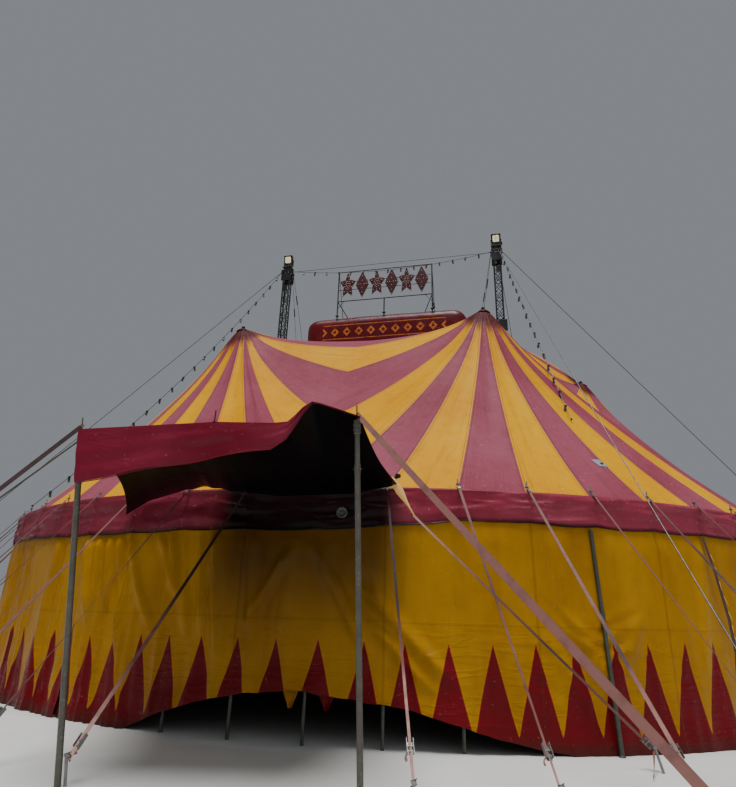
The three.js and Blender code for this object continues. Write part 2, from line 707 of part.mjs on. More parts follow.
// Cupola deck: canvas over the frame with a way through for each mast and a vent under the cover
function cupolaDeck() {
  const shape = rect(THREE.Shape, -RING.x + TOUCH, RING.x - TOUCH, -RING.y + TOUCH, RING.y - TOUCH);
  const hole = MAST_HALF + 2;
  for (const s of [-1, 1]) {
    shape.holes.push(rect(THREE.Path, s * MAST_X - hole, s * MAST_X + hole, -hole, hole));
  }
  shape.holes.push(rect(THREE.Path, -VENT.x, VENT.x, -VENT.y, VENT.y));
  const geometry = new THREE.ExtrudeGeometry(shape, { depth: CANVAS, bevelEnabled: false, steps: 1 });
  return toSolid(geometry.translate(0, 0, RING.z - CANVAS));
}
add('cupola_deck', cupolaDeck(), COLOUR.rose);

// Cupola cover: a long rounded hood of dark red canvas, hollow and open underneath. Its
// rounding goes on below the deck, where the hood is cut off
const COVER_Z = RING.z + TOUCH;

function coverHood(inset) {
  const round = COVER.round - inset;
  const corner = COVER.corner - inset;
  const halfX = COVER.halfX - inset;
  const halfY = COVER.halfY - inset;
  const height = COVER.height - inset + 2 * COVER.round;
  const outline = new THREE.Shape();
  outline.moveTo(-halfX, -inset);
  outline.lineTo(halfX, -inset);
  outline.lineTo(halfX, height - corner);
  outline.absarc(halfX - corner, height - corner, corner, 0, Math.PI / 2);
  outline.lineTo(-halfX + corner, height);
  outline.absarc(-halfX + corner, height - corner, corner, Math.PI / 2, Math.PI);
  outline.closePath();
  const geometry = new THREE.ExtrudeGeometry(outline, {
    depth: 2 * (halfY - round), bevelThickness: round, bevelSize: round, bevelOffset: -round,
    bevelSegments: 4, curveSegments: 6, steps: 1,
  });
  return toSolid(geometry.rotateX(Math.PI / 2).translate(0, halfY - round, COVER_Z - 2 * COVER.round));
}

function cupolaCover() {
  const { halfX, halfY, height, round, wall } = COVER;
  const legHole = SIGN.leg + TOUCH;
  const cuts = [
    coverHood(wall),
    toSolid(box(-halfX - 1, halfX + 1, -halfY - 1, halfY + 1, COVER_Z - 3 * round, COVER_Z)),
    ...[-1, 0, 1].map((s) => toSolid(box(
      s * SIGN.halfX - legHole, s * SIGN.halfX + legHole, SIGN.y - legHole, SIGN.y + legHole,
      COVER_Z + height / 2, COVER_Z + height + 1,
    ))),
  ];
  return cuts.reduce((whole, cut) => whole.subtract(cut), coverHood(0)).asOriginal().simplify(SLIVER);
}
add('cupola_cover', cupolaCover(), COLOUR.red, 0.5);

// Sign frame: an open frame of tube on three legs that stand on the deck and come out
// through the cover, with two braces and two thin stays from the top of the cover
function signFrame() {
  const { halfX, bottom, top, y, tube, leg } = SIGN;
  const deck = RING.z + TOUCH;
  const coverTop = COVER_Z + COVER.height + TOUCH;
  const at = (x, py, z) => new THREE.Vector3(x, py, z);
  const pieces = [
    bar([-halfX, y, top], [halfX, y, top], tube),
    bar([-halfX, y, bottom], [halfX, y, bottom], tube),
  ];
  for (const s of [-1, 0, 1]) {
    const x = s * halfX;
    pieces.push(box(x - leg, x + leg, y - leg, y + leg, deck, s ? top + tube / 2 : bottom));
    if (!s) continue;
    const braceFoot = at(s * SIGN_BRACE.x, SIGN_BRACE.y, coverTop);
    pieces.push(leaning(braceFoot, at(x, y, bottom), SIGN_BRACE.radius, 6));
    pieces.push(leaning(at(x, SIGN_STAY.y, coverTop), at(x, y, top), SIGN_STAY.radius, 6));
  }
  return fuse(pieces);
}
add('sign_frame', signFrame(), COLOUR.dark, 0.5, 0.5);

// Sign motifs: stars and diamonds in a row on two thin rails, hung on the frame's face
function starShape(x, { points, outer, inner }) {
  const shape = new THREE.Shape();
  for (let i = 0; i < points * 2; i++) {
    const r = i % 2 ? inner : outer;
    const a = Math.PI / 2 + (i * Math.PI) / points;
    const [px, pz] = [x + r * Math.cos(a), r * Math.sin(a)];
    if (i) shape.lineTo(px, pz);
    else shape.moveTo(px, pz);
  }
  shape.closePath();
  return shape;
}
function signMotifs() {
  const { halfX, bottom, top, y, leg } = SIGN;
  const { count, margin, railAt, railHalf, depth, backing } = MOTIF;
  const face = y - leg - TOUCH;
  const middle = (bottom + top) / 2;
  const pitch = (2 * (halfX - margin)) / count;
  const reach = railAt + railHalf;
  const pieces = [-railAt, railAt].map((dz) => box(
    -halfX, halfX, face - backing, face, middle + dz - railHalf, middle + dz + railHalf,
  ));
  for (let i = 0; i < count; i++) {
    const shape = starShape(-halfX + margin + pitch * (i + 0.5), i % 2 ? DIAMOND : STAR);
    const plate = new THREE.ExtrudeGeometry(shape, { depth, bevelEnabled: false, steps: 1 });
    pieces.push(plate.rotateX(Math.PI / 2).translate(0, face - 5, middle));
  }
  for (const s of [-1, 1]) {
    const x = s * halfX;
    pieces.push(box(x - leg + 8, x + leg - 8, face - backing, face, middle - reach, middle + reach));
  }
  return fuse(pieces);
}
add('sign_motifs', signMotifs(), COLOUR.red, 0.5);

// Mast guys: a collar round each mast head carries its cables and two hoist wires, which
// end on pads on the cupola's deck
const COLLAR_INNER = MAST_HALF + TOUCH;
const COLLAR_OUTER = COLLAR_INNER + COLLAR.band;
for (const [name, s] of SIDES) {
  const x = s * MAST_X;
  const band = rect(THREE.Shape, x - COLLAR_OUTER, x + COLLAR_OUTER, -COLLAR_OUTER, COLLAR_OUTER);
  band.holes.push(rect(THREE.Path, x - COLLAR_INNER, x + COLLAR_INNER, -COLLAR_INNER, COLLAR_INNER));
  const collar = new THREE.ExtrudeGeometry(band, { depth: COLLAR.depth, bevelEnabled: false, steps: 1 });
  const pieces = [collar.translate(0, 0, COLLAR.z)];
  for (const [ax, ay] of MAST_GUYS[name]) {
    const anchor = new THREE.Vector3(ax, ay, 0);
    const away = new THREE.Vector3(ax - x, ay, 0).normalize();
    const start = new THREE.Vector3(x, 0, COLLAR.z + COLLAR.depth / 2);
    const lugAt = COLLAR_OUTER + LUG - 3;
    start.addScaledVector(away, lugAt / Math.max(Math.abs(away.x), Math.abs(away.y)));
    const low = anchor.clone().addScaledVector(away, -20).setZ(STAKE.height - 50);
    const foot = anchor.clone().addScaledVector(away, -80);
    pieces.push(cube(start.toArray(), LUG), rod(start.toArray(), low.toArray(), MAST_GUY_R, 6));
    pieces.push(stake(foot, anchor.clone().setZ(STAKE.height + 60)));
  }
  for (const side of [-1, 1]) {
    const top = [x - s * (COLLAR_OUTER + HOIST.lug - 3), side * HOIST.at, COLLAR.z + 20];
    const [px, py] = [s * HOIST.x, side * HOIST.y];
    const deck = RING.z + TOUCH;
    pieces.push(cube(top, HOIST.lug), rod(top, [px, py, deck + 5], HOIST.radius, 6));
    pieces.push(box(px - HOIST.pad, px + HOIST.pad, py - HOIST.pad, py + HOIST.pad, deck, deck + 10));
  }
  add(`mast_guys_${name}`, fuse(pieces), COLOUR.galvanised, 0.5, 0.7);
}

// The wire between the mast heads
const headGap = MAST_X - COLLAR_OUTER - TOUCH;
const wire = rod([-headGap, 0, TOP_WIRE.z], [headGap, 0, TOP_WIRE.z], TOP_WIRE.radius, 6);
add('top_wire', toSolid(wire), COLOUR.galvanised, 0.5, 0.7);

// Festoon strings: one between the masts, one down to the eave on the left and one down
// to an eyelet plate on the roof on the right, each with a block at the ends on a collar
function festoon(name, from, to, sag, ends) {
  add(`festoon_${name}`, fuse([cord(from, to, sag, FESTOON.radius), ...ends]), COLOUR.dark, 0.6);
}

const topEnd = headGap - FESTOON.block;
const topEnds = [-1, 1].map((s) => [s * topEnd, FESTOON.y, FESTOON.z]);
festoon('top', ...topEnds, FESTOON_TOP_SAG, topEnds.map((at) => cube(at, FESTOON.block)));

const collarFront = (s) => [s * (MAST_X + 100), -COLLAR_OUTER - TOUCH - FESTOON.block, FESTOON.z];

const pinHead = seamPoint(FESTOON_LEFT.seam, PIN.out, EAVE_H + PIN.top + TOUCH + FESTOON.block).toArray();
const leftEnds = [collarFront(-1), pinHead];
festoon('left', ...leftEnds, FESTOON_LEFT.sag, leftEnds.map((at) => cube(at, FESTOON.block)));

const overFan = vec(FANS[0].peak).lerp(eavePoint(FESTOON_RIGHT.bay, -LIP, EAVE_H), FESTOON_RIGHT.down);
const eyelet = facetAt(fanSheet(0), overFan.x, overFan.y);
const onCanvas = (height) => eyelet.point.clone().addScaledVector(eyelet.normal, height).toArray();
const eyeletPlate = bar(onCanvas(TOUCH), onCanvas(TOUCH + FESTOON_RIGHT.depth), FESTOON_RIGHT.plate);
festoon('right', collarFront(1), onCanvas(TOUCH + FESTOON_RIGHT.depth / 2), FESTOON_RIGHT.sag,
  [cube(collarFront(1), FESTOON.block), eyeletPlate]);

// Entrance marquee: two poles, a canopy sheet with a front band, and a strap from each pole
function marqueePole({ top, foot }) {
  const { poleR, headR, headHeight, pinR, pinHeight } = MARQUEE;
  const below = 0.02; // the tube starts under the ground and is cut off there
  const length = vec(top).distanceTo(vec(foot));
  const head = length * (1 + below) - CANVAS - 16;
  const lowered = vec(foot).lerp(vec(top), -below).toArray();
  const profile = [
    [0, 0], [poleR, 0], [poleR, head - headHeight], [headR, head - headHeight], [headR, head],
    [pinR, head], [pinR, head + pinHeight], [0, head + pinHeight],
  ];
  const [x, y] = foot;
  const ground = toSolid(box(x - 200, x + 200, y - 200, y + 200, -200, 0));
  return toSolid(turned(lowered, top, profile, 8)).subtract(ground);
}
add('marquee_pole_left', marqueePole(MARQUEE.left), COLOUR.steel, 0.5, 0.5);
add('marquee_pole_right', marqueePole(MARQUEE.right), COLOUR.steel, 0.5, 0.5);

// The wind lifts the canopy near its right front corner
function lift(u, v) {
  return 330 * Math.exp(-(((u - 0.8) / 0.1) ** 2)) * v ** 2;
}

function marqueeCanopy() {
  const rearZ = EAVE_H + CANVAS;
  const columns = MARQUEE.rear;
  const [cornerX, cornerY] = MARQUEE.corner;
  const frontLeft = vec(MARQUEE.left.top).add(new THREE.Vector3(-cornerX, -cornerY, 0));
  const frontRight = vec(MARQUEE.right.top).add(new THREE.Vector3(cornerX, -cornerY, 0));
  const rows = [0, 0.35, 0.7, 1];
  const places = [0, 0.25, 0.5, 0.66, 0.74, 0.8, 0.86, 0.93, 1];
  const [first, last] = [columns[0], columns.at(-1)];
  const atSeams = columns.map((column) => (column - first) / (last - first));
  const stations = [...new Set([...atSeams, ...places])].sort((a, b) => a - b);
  const points = [];
  const offsets = [];
  for (const u of stations) {
    const rear = eavePoint(first + (last - first) * u, CANVAS + 2 * TOUCH, rearZ);
    const front = frontLeft.clone().lerp(frontRight, u);
    for (const v of rows) {
      const point = rear.clone().lerp(front, v);
      point.z += lift(u, v) - 110 * Math.sin(Math.PI * v) * (0.4 + Math.sin(Math.PI * u));
      points.push(point);
      offsets.push(new THREE.Vector3(0, v === 1 ? CANVAS : 0, -CANVAS));
    }
    const inward = new THREE.Vector3(0, CANVAS, 0);
    const drop = Math.max(MARQUEE.narrowBand, MARQUEE.band * Math.min(1, (0.86 - u) / 0.2));
    const edge = points.at(-1);
    points.push(new THREE.Vector3(edge.x, edge.y - 3, edge.z - drop));
    offsets.push(inward);
  }
  const faces = [];
  const size = rows.length + 1;
  for (let i = 0; i + 1 < stations.length; i++) {
    for (let k = 0; k + 1 < size; k++) {
      const a = i * size + k;
      const b = a + size;
      faces.push([a, a + 1, b + 1], [a, b + 1, b]);
    }
  }
  const sheet = toSolid(thicken(points, faces, offsets));
  const eyelets = [MARQUEE.left, MARQUEE.right].map(({ top, foot }) => {
    const beyond = vec(foot).lerp(vec(top), 1.05).toArray();
    const below = vec(foot).lerp(vec(top), 0.95).toArray();
    return rod(below, beyond, MARQUEE.pinR + TOUCH + 0.1, 8);
  });
  const slits = [-0.5, -1.5].map((seam) => bar(...guyEnds(seam), GUY.width + SLIT, GUY.depth + SLIT));
  return [...eyelets, ...slits].reduce((whole, hole) => whole.subtract(toSolid(hole)), sheet);
}
add('marquee_canopy', marqueeCanopy(), COLOUR.red, 0.5);

for (const [name, side] of [['left', MARQUEE.left], ['right', MARQUEE.right]]) {
  const top = vec(side.foot).lerp(vec(side.top), 1 + STRAP.onPin / side.top[2]); // on the pole's pin
  const anchor = new THREE.Vector3(...side.stake, 0);
  const away = anchor.clone().sub(top).setZ(0).normalize();
  const high = top.clone().addScaledVector(away, 30);
  const low = anchor.clone().addScaledVector(away, -20).setZ(STAKE.height - 50);
  const strap = bar(high.toArray(), low.toArray(), STRAP.width, STRAP.depth);
  const tip = top.clone().addScaledVector(away, MARQUEE.pinR + 2 * TOUCH);
  const inStrap = high.clone().addScaledVector(away, 20);
  const loop = bar(tip.toArray(), inStrap.toArray(), STRAP.loop, STRAP.depth);
  const peg = stake(anchor.clone().addScaledVector(away, -80), anchor.clone().setZ(STAKE.height));
  add(`marquee_strap_${name}`, fuse([strap, loop, peg]), COLOUR.strap, 0.8);
}

// The part's origin is the middle of all that stands on the ground
const reach = new THREE.Box3().setFromObject(part);
part.position.set(-(reach.min.x + reach.max.x) / 2, -(reach.min.y + reach.max.y) / 2, 0);

export default part;
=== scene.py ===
"""Looks of a two-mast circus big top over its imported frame: striped roof, spiked wall, valance,
cupola with its sign frame, lattice masts, festoons, guys and the entrance marquee. Metres, +Z up."""
from math import atan2, ceil, copysign, cos, exp, floor, hypot, pi, radians, sin

import bmesh
import bpy
from mathutils import Matrix, Vector, noise


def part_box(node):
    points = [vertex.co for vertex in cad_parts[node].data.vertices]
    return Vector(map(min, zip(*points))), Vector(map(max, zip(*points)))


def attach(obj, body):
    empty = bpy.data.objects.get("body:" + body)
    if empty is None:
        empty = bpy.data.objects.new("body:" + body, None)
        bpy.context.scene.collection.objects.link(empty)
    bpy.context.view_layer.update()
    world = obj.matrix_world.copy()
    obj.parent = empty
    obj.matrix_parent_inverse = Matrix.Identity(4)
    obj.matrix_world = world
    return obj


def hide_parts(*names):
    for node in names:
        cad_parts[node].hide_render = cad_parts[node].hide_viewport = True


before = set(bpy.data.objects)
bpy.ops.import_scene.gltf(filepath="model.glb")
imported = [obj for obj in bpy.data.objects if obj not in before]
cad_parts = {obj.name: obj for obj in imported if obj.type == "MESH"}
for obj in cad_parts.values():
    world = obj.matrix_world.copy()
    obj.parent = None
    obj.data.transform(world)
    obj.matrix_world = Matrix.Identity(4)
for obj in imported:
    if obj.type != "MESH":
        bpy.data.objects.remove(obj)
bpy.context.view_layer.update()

# Places are measured from the middle of the tent's oval, which lies between the masts
mast_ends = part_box("mast_left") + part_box("mast_right")
MIDDLE = Vector([(min(end[axis] for end in mast_ends) + max(end[axis] for end in mast_ends)) / 2
                 for axis in (0, 1)] + [0])

# Oval, eave and canvas
BAYS = 56
EAVE_A, EAVE_B, EAVE_H = 9.28, 7.93, 3.3
LIP, PIN_OUT = .06, -.027
CLOTH = .004
SIDE_SAG, CORNER_SAG = .63, .40
PEAK_HOLE = .045
RING = Vector((3.85, .76, 9.15))
RIM_TURN, RIM_CORNER = 2.76, (3.62, .52)  # where the rim's long side ends, and its cut corner
RIM_HALF = ((0, .76), (RIM_TURN, .76), RIM_CORNER, (3.81, .1))
FANS = [
    ("front_right", Vector((3.02, -3.79, 8.2)), 0, 10),
    ("right_end", Vector((5.6, 0, 7.7)), 10, 18),
    ("rear_right", Vector((3.02, 3.79, 8.2)), 18, 28),
    ("rear_left", Vector((-3.02, 3.79, 8.2)), 28, 38),
    ("left_end", Vector((-5.6, 0, 7.7)), 38, 46),
    ("front_left", Vector((-3.02, -3.79, 8.2)), 46, 56),
]
VALLEY_STEPS = (0, .055, .115, .172, .25, .33, .41, .5, .58, .66, .76, .84, .92, 1)
VALLEY_GORES = ((0, -2), (.172, -1), (.5, 0), (1, .6))
RAY_CURVES = ((0, .7), (.172, .28), (.5, .3), (1, .25))
GORE_SAG = .035
MAST_X, MAST_H = 3.51, 12.6
COLLAR_Z = 12.43
QUARTERS = ("front", "right", "rear", "left")


# Camera and finishes
def place_camera():
    """Stands the camera at a person's eye height, as the photograph was taken."""
    heading, pitch, roll = .2251, .3644, .0306
    ahead, right = Vector((-sin(heading), cos(heading), 0)), Vector((cos(heading), sin(heading), 0))
    sight = ahead * cos(pitch) + up(sin(pitch))
    upright = up(cos(pitch)) - ahead * sin(pitch)
    across = right * cos(roll) + upright * sin(roll)
    over = upright * cos(roll) - right * sin(roll)
    camera = bpy.data.objects.new("camera", bpy.data.cameras.new("camera"))
    bpy.context.collection.objects.link(camera)
    camera.matrix_world = Matrix((across, over, -sight)).transposed().to_4x4()
    camera.matrix_world.translation = Vector((3.087, -15.901, 1.618)) + MIDDLE
    camera.data.lens, camera.data.sensor_width, camera.data.clip_end = 26.17, 36, 300
    bpy.context.scene.camera = camera


def up(z):
    return Vector((0, 0, z))


def tone(red, green, blue):
    """A colour as it reads on a screen, 0 to 255, as the shader's own values."""
    parts = [part / 255 for part in (red, green, blue)]
    return tuple(((p + .055) / 1.055) ** 2.4 if p > .04 else p / 12.92 for p in parts) + (1.0,)


class Wiring:
    """Places and links the nodes of one material or node group."""

    def __init__(self, tree):
        self.tree = tree

    def feed(self, socket, value):
        if isinstance(value, bpy.types.NodeSocket):
            self.tree.links.new(value, socket)
        elif value is not None:
            socket.default_value = value

    def add(self, kind, *values, out=0, named=None, **settings):
        node = self.tree.nodes.new("ShaderNode" + kind)
        for name, setting in settings.items():
            setattr(node, name, setting)
        for socket, value in zip(node.inputs, values):
            self.feed(socket, value)
        for name, value in (named or {}).items():
            self.feed(node.inputs[name], value)
        return node.outputs[out]

    def math(self, operation, *values):
        return self.add("Math", *values, operation=operation)

    def times(self, one, other):
        return self.math("MULTIPLY", one, other)

    def plus(self, one, other):
        return self.math("ADD", one, other)

    def less(self, one, other):
        return self.math("SUBTRACT", one, other)

    def size(self, value):
        return self.math("ABSOLUTE", value)

    def mix(self, share, under, over, blend="MIX"):
        node = self.tree.nodes.new("ShaderNodeMix")
        node.data_type, node.blend_type = "RGBA", blend
        for at, value in ((0, share), (6, under), (7, over)):
            self.feed(node.inputs[at], value)
        return node.outputs[2]

    def shade(self, share, color, over):
        return self.mix(share, color, over + (1,), "MULTIPLY")

    def tones(self, share, one, other):
        return self.mix(share, tone(*one), tone(*other))

    def ramp(self, value, low, high, start=0.0, end=1.0):
        return self.add("MapRange", value, low, high, start, end, interpolation_type="SMOOTHSTEP")

    def noise(self, vector, scale, detail=3.0, rough=.5, bent=0.0):
        return self.add("TexNoise", named={"Vector": vector, "Scale": scale, "Detail": detail,
                                           "Roughness": rough, "Distortion": bent})

    def value(self, name):
        return self.add("Attribute", attribute_name=name, out="Fac")

    def place(self):
        return self.add("TexCoord", out="Object")

    def parts(self, vector):
        return self.add("SeparateXYZ", vector).node.outputs[:]

    def stretch(self, vector, x, y, z):
        return self.add("VectorMath", vector, (x, y, z), operation="MULTIPLY")

    def line(self, distance, half, soft):
        """1 within half a width of where the distance is nought, fading over soft."""
        return self.ramp(self.size(distance), half + soft, half)

    def group(self, tree, **values):
        node = self.tree.nodes.new("ShaderNodeGroup")
        node.node_tree = tree
        for name, value in values.items():
            self.feed(node.inputs[name], value)
        return node.outputs


def node_group(name, inputs, outputs, build):
    """A group of nodes with named sockets; build returns what goes out of it."""
    tree = bpy.data.node_groups.new(name, "ShaderNodeTree")
    for way, sockets in (("INPUT", inputs), ("OUTPUT", outputs)):
        for label, kind in sockets.items():
            tree.interface.new_socket(label, in_out=way, socket_type="NodeSocket" + kind)
    w = Wiring(tree)
    entry, leave = tree.nodes.new("NodeGroupInput"), tree.nodes.new("NodeGroupOutput")
    for label, value in build(w, entry.outputs).items():
        w.feed(leave.inputs[label], value)
    return tree


def canvas_wear_nodes(w, given):
    """Coated canvas that has stood outdoors: patchy tone, dirt in streaks, pale scuffs."""
    place = w.place()
    blotch = w.noise(place, 4.5, 5, .62)
    color = w.shade(w.ramp(w.noise(place, .55, 3, .55), .3, .72, 0, .22), given["Color"], (.93, .93, .93))
    color = w.shade(w.ramp(blotch, .42, .75, 0, .26), color, (.62, .58, .54))
    dirt = w.times(w.ramp(w.noise(given["Streaks"], 1.0, 4, .6), .48, .74), given["Dirt"])
    color = w.mix(dirt, color, tone(66, 46, 32))
    pale = w.times(w.ramp(w.noise(place, 26, 2, .4), .69, .75), given["Scuffs"])
    color = w.mix(pale, color, tone(224, 206, 190))
    height = w.plus(w.times(blotch, .3), w.times(w.noise(place, 260, 2), .1))
    rough = w.plus(w.plus(w.times(blotch, .26), w.times(dirt, .2)), .26)
    return {"Color": color, "Roughness": rough, "Height": height}


def crease_nodes(w, given):
    """Small wrinkles of pressed canvas, as a height."""
    fold = w.size(w.less(w.noise(given["Vector"], 1.2, 3, .5, .6), .5))
    return {"Height": w.plus(w.times(w.ramp(fold, 0, .09, 1, 0), .5), w.noise(given["Vector"], 2.7, 4))}


def grime_nodes(w, given):
    """Mud and water stains that creep up from the ground."""
    place = w.place()
    ragged = w.times(w.noise(place, 3.2, 5, .6), given["Reach"])
    low = w.ramp(w.parts(place)[2], ragged, 0)
    share = w.add("Math", low, given["Amount"], operation="MULTIPLY", use_clamp=True)
    return {"Color": w.mix(share, given["Color"], tone(46, 36, 26))}


def metal_wear_nodes(w, given):
    """Painted or zinc-coated steel: patchy tone, worn spots and a little rust."""
    place = w.place()
    patch, spot = w.noise(place, 9, 5, .6), w.noise(place, 38)
    color = w.shade(w.ramp(patch, .35, .7, 0, .5), given["Color"], (.55, .55, .56))
    color = w.mix(w.times(w.ramp(spot, .6, .7), given["Wear"]), color, tone(150, 146, 140))
    rust = w.times(w.ramp(w.noise(place, 5.5, 4, .7), .62, .72), given["Rust"])
    rough = w.plus(w.plus(w.times(patch, .3), w.times(rust, .3)), .25)
    return {"Color": w.mix(rust, color, tone(92, 50, 30)), "Roughness": rough, "Height": spot}


def webbing_nodes(w, given):
    """Woven strap: cross ribs, darker edges, and grey where it is dirty."""
    ribs = w.math("SINE", w.times(w.value("along"), 900))
    patch = w.noise(w.place(), 7, 4, .6)
    color = w.shade(w.ramp(w.size(w.value("across")), .84, .97, 0, .3), given["Color"], (.42, .4, .4))
    color = w.shade(w.ramp(patch, .45, .72, 0, .55), color, (.45, .42, .42))
    height = w.plus(w.times(ribs, .4), w.times(patch, .5))
    return {"Color": color, "Roughness": w.plus(w.times(patch, .3), .5), "Height": height}


LOOK = {"Color": "Color", "Roughness": "Float", "Height": "Float"}
CLOTH_INPUTS = {"Color": "Color", "Streaks": "Vector", "Dirt": "Float", "Scuffs": "Float"}
GRIME_INPUTS = {"Color": "Color", "Amount": "Float", "Reach": "Float"}
METAL_INPUTS = {"Color": "Color", "Wear": "Float", "Rust": "Float"}
CANVAS_WEAR = node_group("canvas wear", CLOTH_INPUTS, LOOK, canvas_wear_nodes)
CREASES = node_group("creases", {"Vector": "Vector"}, {"Height": "Float"}, crease_nodes)
GRIME = node_group("ground grime", GRIME_INPUTS, {"Color": "Color"}, grime_nodes)
METAL_WEAR = node_group("metal wear", METAL_INPUTS, LOOK, metal_wear_nodes)
WEBBING = node_group("webbing", {"Color": "Color"}, LOOK, webbing_nodes)


def look(worn, **changed):
    """What a group puts out, with some of it changed."""
    return {**{label: worn[label] for label in LOOK}, **changed}


def material(name, build, bump=.3, depth=.01, **on_socket):
    """A finish: build(w) returns what varies over the surface, the rest sits on the shader's sockets."""
    made = bpy.data.materials.new(name)
    made.use_nodes = True
    w = Wiring(made.node_tree)
    shader = made.node_tree.nodes["Principled BSDF"]
    for label, value in on_socket.items():
        shader.inputs[label.replace("_", " ")].default_value = value
    for label, value in build(w).items():
        if label == "Height":
            value = w.add("Bump", named={"Height": value, "Strength": bump, "Distance": depth})
        socket = {"Color": "Base Color", "Height": "Normal"}.get(label, label)
        w.feed(shader.inputs[socket], value)
    return made


def roof_finish(w):
    """Yellow and faded rose gores, welded at their edges, with a maroon cap at each peak."""
    gore, down = w.value("gore"), w.value("down")
    parity = w.math("FLOORED_MODULO", gore, 2)
    to_seam = w.times(w.math("PINGPONG", gore, .5), w.value("width"))
    drift = w.ramp(w.noise(w.place(), .4), .35, .65)
    stripe = w.times(w.ramp(parity, .9985, 1.0015), w.math("GREATER_THAN", 1.9985, parity))
    yellow = w.tones(drift, (204, 140, 0), (214, 155, 5))
    rose = w.tones(drift, (134, 59, 74), (146, 75, 90))
    color = w.mix(stripe, yellow, rose)
    color = w.mix(w.times(w.line(w.less(to_seam, .03), .004, .008), .4), color, tone(86, 48, 40))
    color = w.mix(w.value("top"), color, tone(70, 12, 30))
    runs = w.add("CombineXYZ", w.times(gore, 7), w.times(down, .45), 0)
    worn = w.group(CANVAS_WEAR, Color=color, Streaks=runs, Dirt=.2, Scuffs=.22)
    puckers = w.add("CombineXYZ", w.times(gore, 9), w.times(down, .9), 0)
    puckered = w.times(w.group(CREASES, Vector=puckers)["Height"], w.ramp(down, 3.2, 7.5, .12, .5))
    height = w.plus(w.plus(worn["Height"], puckered), w.times(w.ramp(to_seam, .034, .028), .35))
    return look(worn, Roughness=w.plus(worn["Roughness"], .12), Height=height)


def under_canopy_shade(w, bay, far, near):
    """How much a place lies in under the marquee, where shade is painted into the cloth."""
    return w.ramp(w.size(w.less(bay, .86)), far, near)


def wall_finish(w):
    """Yellow wall canvas with dark red spikes, cream piping, a welded band and a hem."""
    place = w.place()
    z = w.parts(place)[2]
    notch, bay = w.value("notch"), w.value("bay")
    share = w.less(1, w.times(w.math("PINGPONG", w.plus(w.value("spike"), .5), .5), 2))
    near = w.times(w.less(z, w.plus(notch, w.times(w.less(w.value("tip"), notch), share))), .25)
    drift = w.ramp(w.noise(w.stretch(place, 1, 1, .35), .9), .3, .7)
    red = w.tones(drift, (94, 0, 8), (110, 3, 17))
    yellow = w.tones(drift, (151, 102, 1), (170, 122, 5))
    color = w.mix(w.ramp(near, -.002, .002), red, yellow)
    piping = w.times(w.line(near, .006, .003), w.ramp(z, notch, w.plus(notch, .06)))
    color = w.mix(w.times(piping, .4), color, tone(206, 128, 30))
    weld = w.line(w.less(z, 1.5), .012, .008)
    laced = w.line(w.times(w.math("PINGPONG", w.times(bay, .5), .5), 2), .012, .01)
    color = w.mix(w.times(weld, .12), color, tone(90, 60, 10))
    color = w.mix(w.times(laced, .22), color, tone(70, 44, 8))
    soil = w.group(GRIME, Color=color, Amount=.55, Reach=.5)
    streaks = w.stretch(place, 3.1, 3.1, .35)
    worn = w.group(CANVAS_WEAR, Color=soil["Color"], Streaks=streaks, Dirt=.14, Scuffs=.07)
    wrinkled = w.group(CREASES, Vector=w.stretch(place, 1.3, 1.3, .6))["Height"]
    crinkled = w.group(CREASES, Vector=w.stretch(place, .9, .9, 4.2))["Height"]
    height = w.plus(w.plus(worn["Height"], w.times(wrinkled, .6)), w.times(w.plus(weld, laced), .35))
    height = w.plus(height, w.times(crinkled, w.ramp(z, 1.75, 1.0, 0, 1.1)))
    # Painted shade under the marquee, deeper higher up the wall
    painted_shade = w.times(under_canopy_shade(w, bay, 1.75, .95), w.ramp(z, .8, 2.4, 0, .85))
    return look(worn, Color=w.shade(painted_shade, worn["Color"], (.14, .11, .08)), Height=height)


def red_canvas(name, main, other, coat, hem=None, dirt=.16, shine=.3):
    """Red coated canvas; hem gives the darker tone that its lower edge takes."""
    def build(w):
        place = w.place()
        color = w.tones(w.ramp(w.noise(place, .8), .3, .7), main, other)
        if hem:
            bay = w.value("bay")
            # Over the tent's left part the valance is painted darker, as shade on that side
            side = w.ramp(w.size(w.less(bay, 14)), 16.5, 10.5)
            color = w.mix(side, w.shade(1, color, (.66, .5, .56)), color)
            color = w.mix(w.ramp(w.value("fall"), .86, .97, 0, .75), color, tone(*hem))
        worn = w.group(CANVAS_WEAR, Color=color, Streaks=w.stretch(place, 3, 3, .4), Dirt=dirt, Scuffs=dirt)
        wrinkled = w.group(CREASES, Vector=w.stretch(place, 1.6, 1.6, 3.2))["Height"]
        color = worn["Color"]
        if hem:
            # Painted shade, near black, on the valance under the marquee
            color = w.shade(under_canopy_shade(w, bay, 1.5, 1.05), color, (.035, .02, .03))
        return look(worn, Color=color, Height=w.plus(worn["Height"], w.times(wrinkled, .6)))
    return material(name, build, .35, .02, Specular_IOR_Level=shine, Coat_Weight=coat, Coat_Roughness=.28)


def steel(name, color, metallic, wear, rust):
    def build(w):
        return look(w.group(METAL_WEAR, Color=tone(*color), Wear=wear, Rust=rust))
    return material(name, build, .2, .004, Metallic=metallic)


def small_canvas(name, color, dirt, scuffs):
    def build(w):
        streaks = w.stretch(w.place(), 3, 3, .4)
        return look(w.group(CANVAS_WEAR, Color=tone(*color), Streaks=streaks, Dirt=dirt, Scuffs=scuffs))
    return material(name, build, .2, .004)


def strap_finish(w):
    """Webbing that goes from brown through near black to faded pink along its length."""
    shade = w.value("shade")
    color = w.tones(w.ramp(shade, 0, .45), (40, 20, 24), (122, 78, 70))
    return look(w.group(WEBBING, Color=w.mix(w.ramp(shade, .5, 1), color, tone(206, 160, 148))))


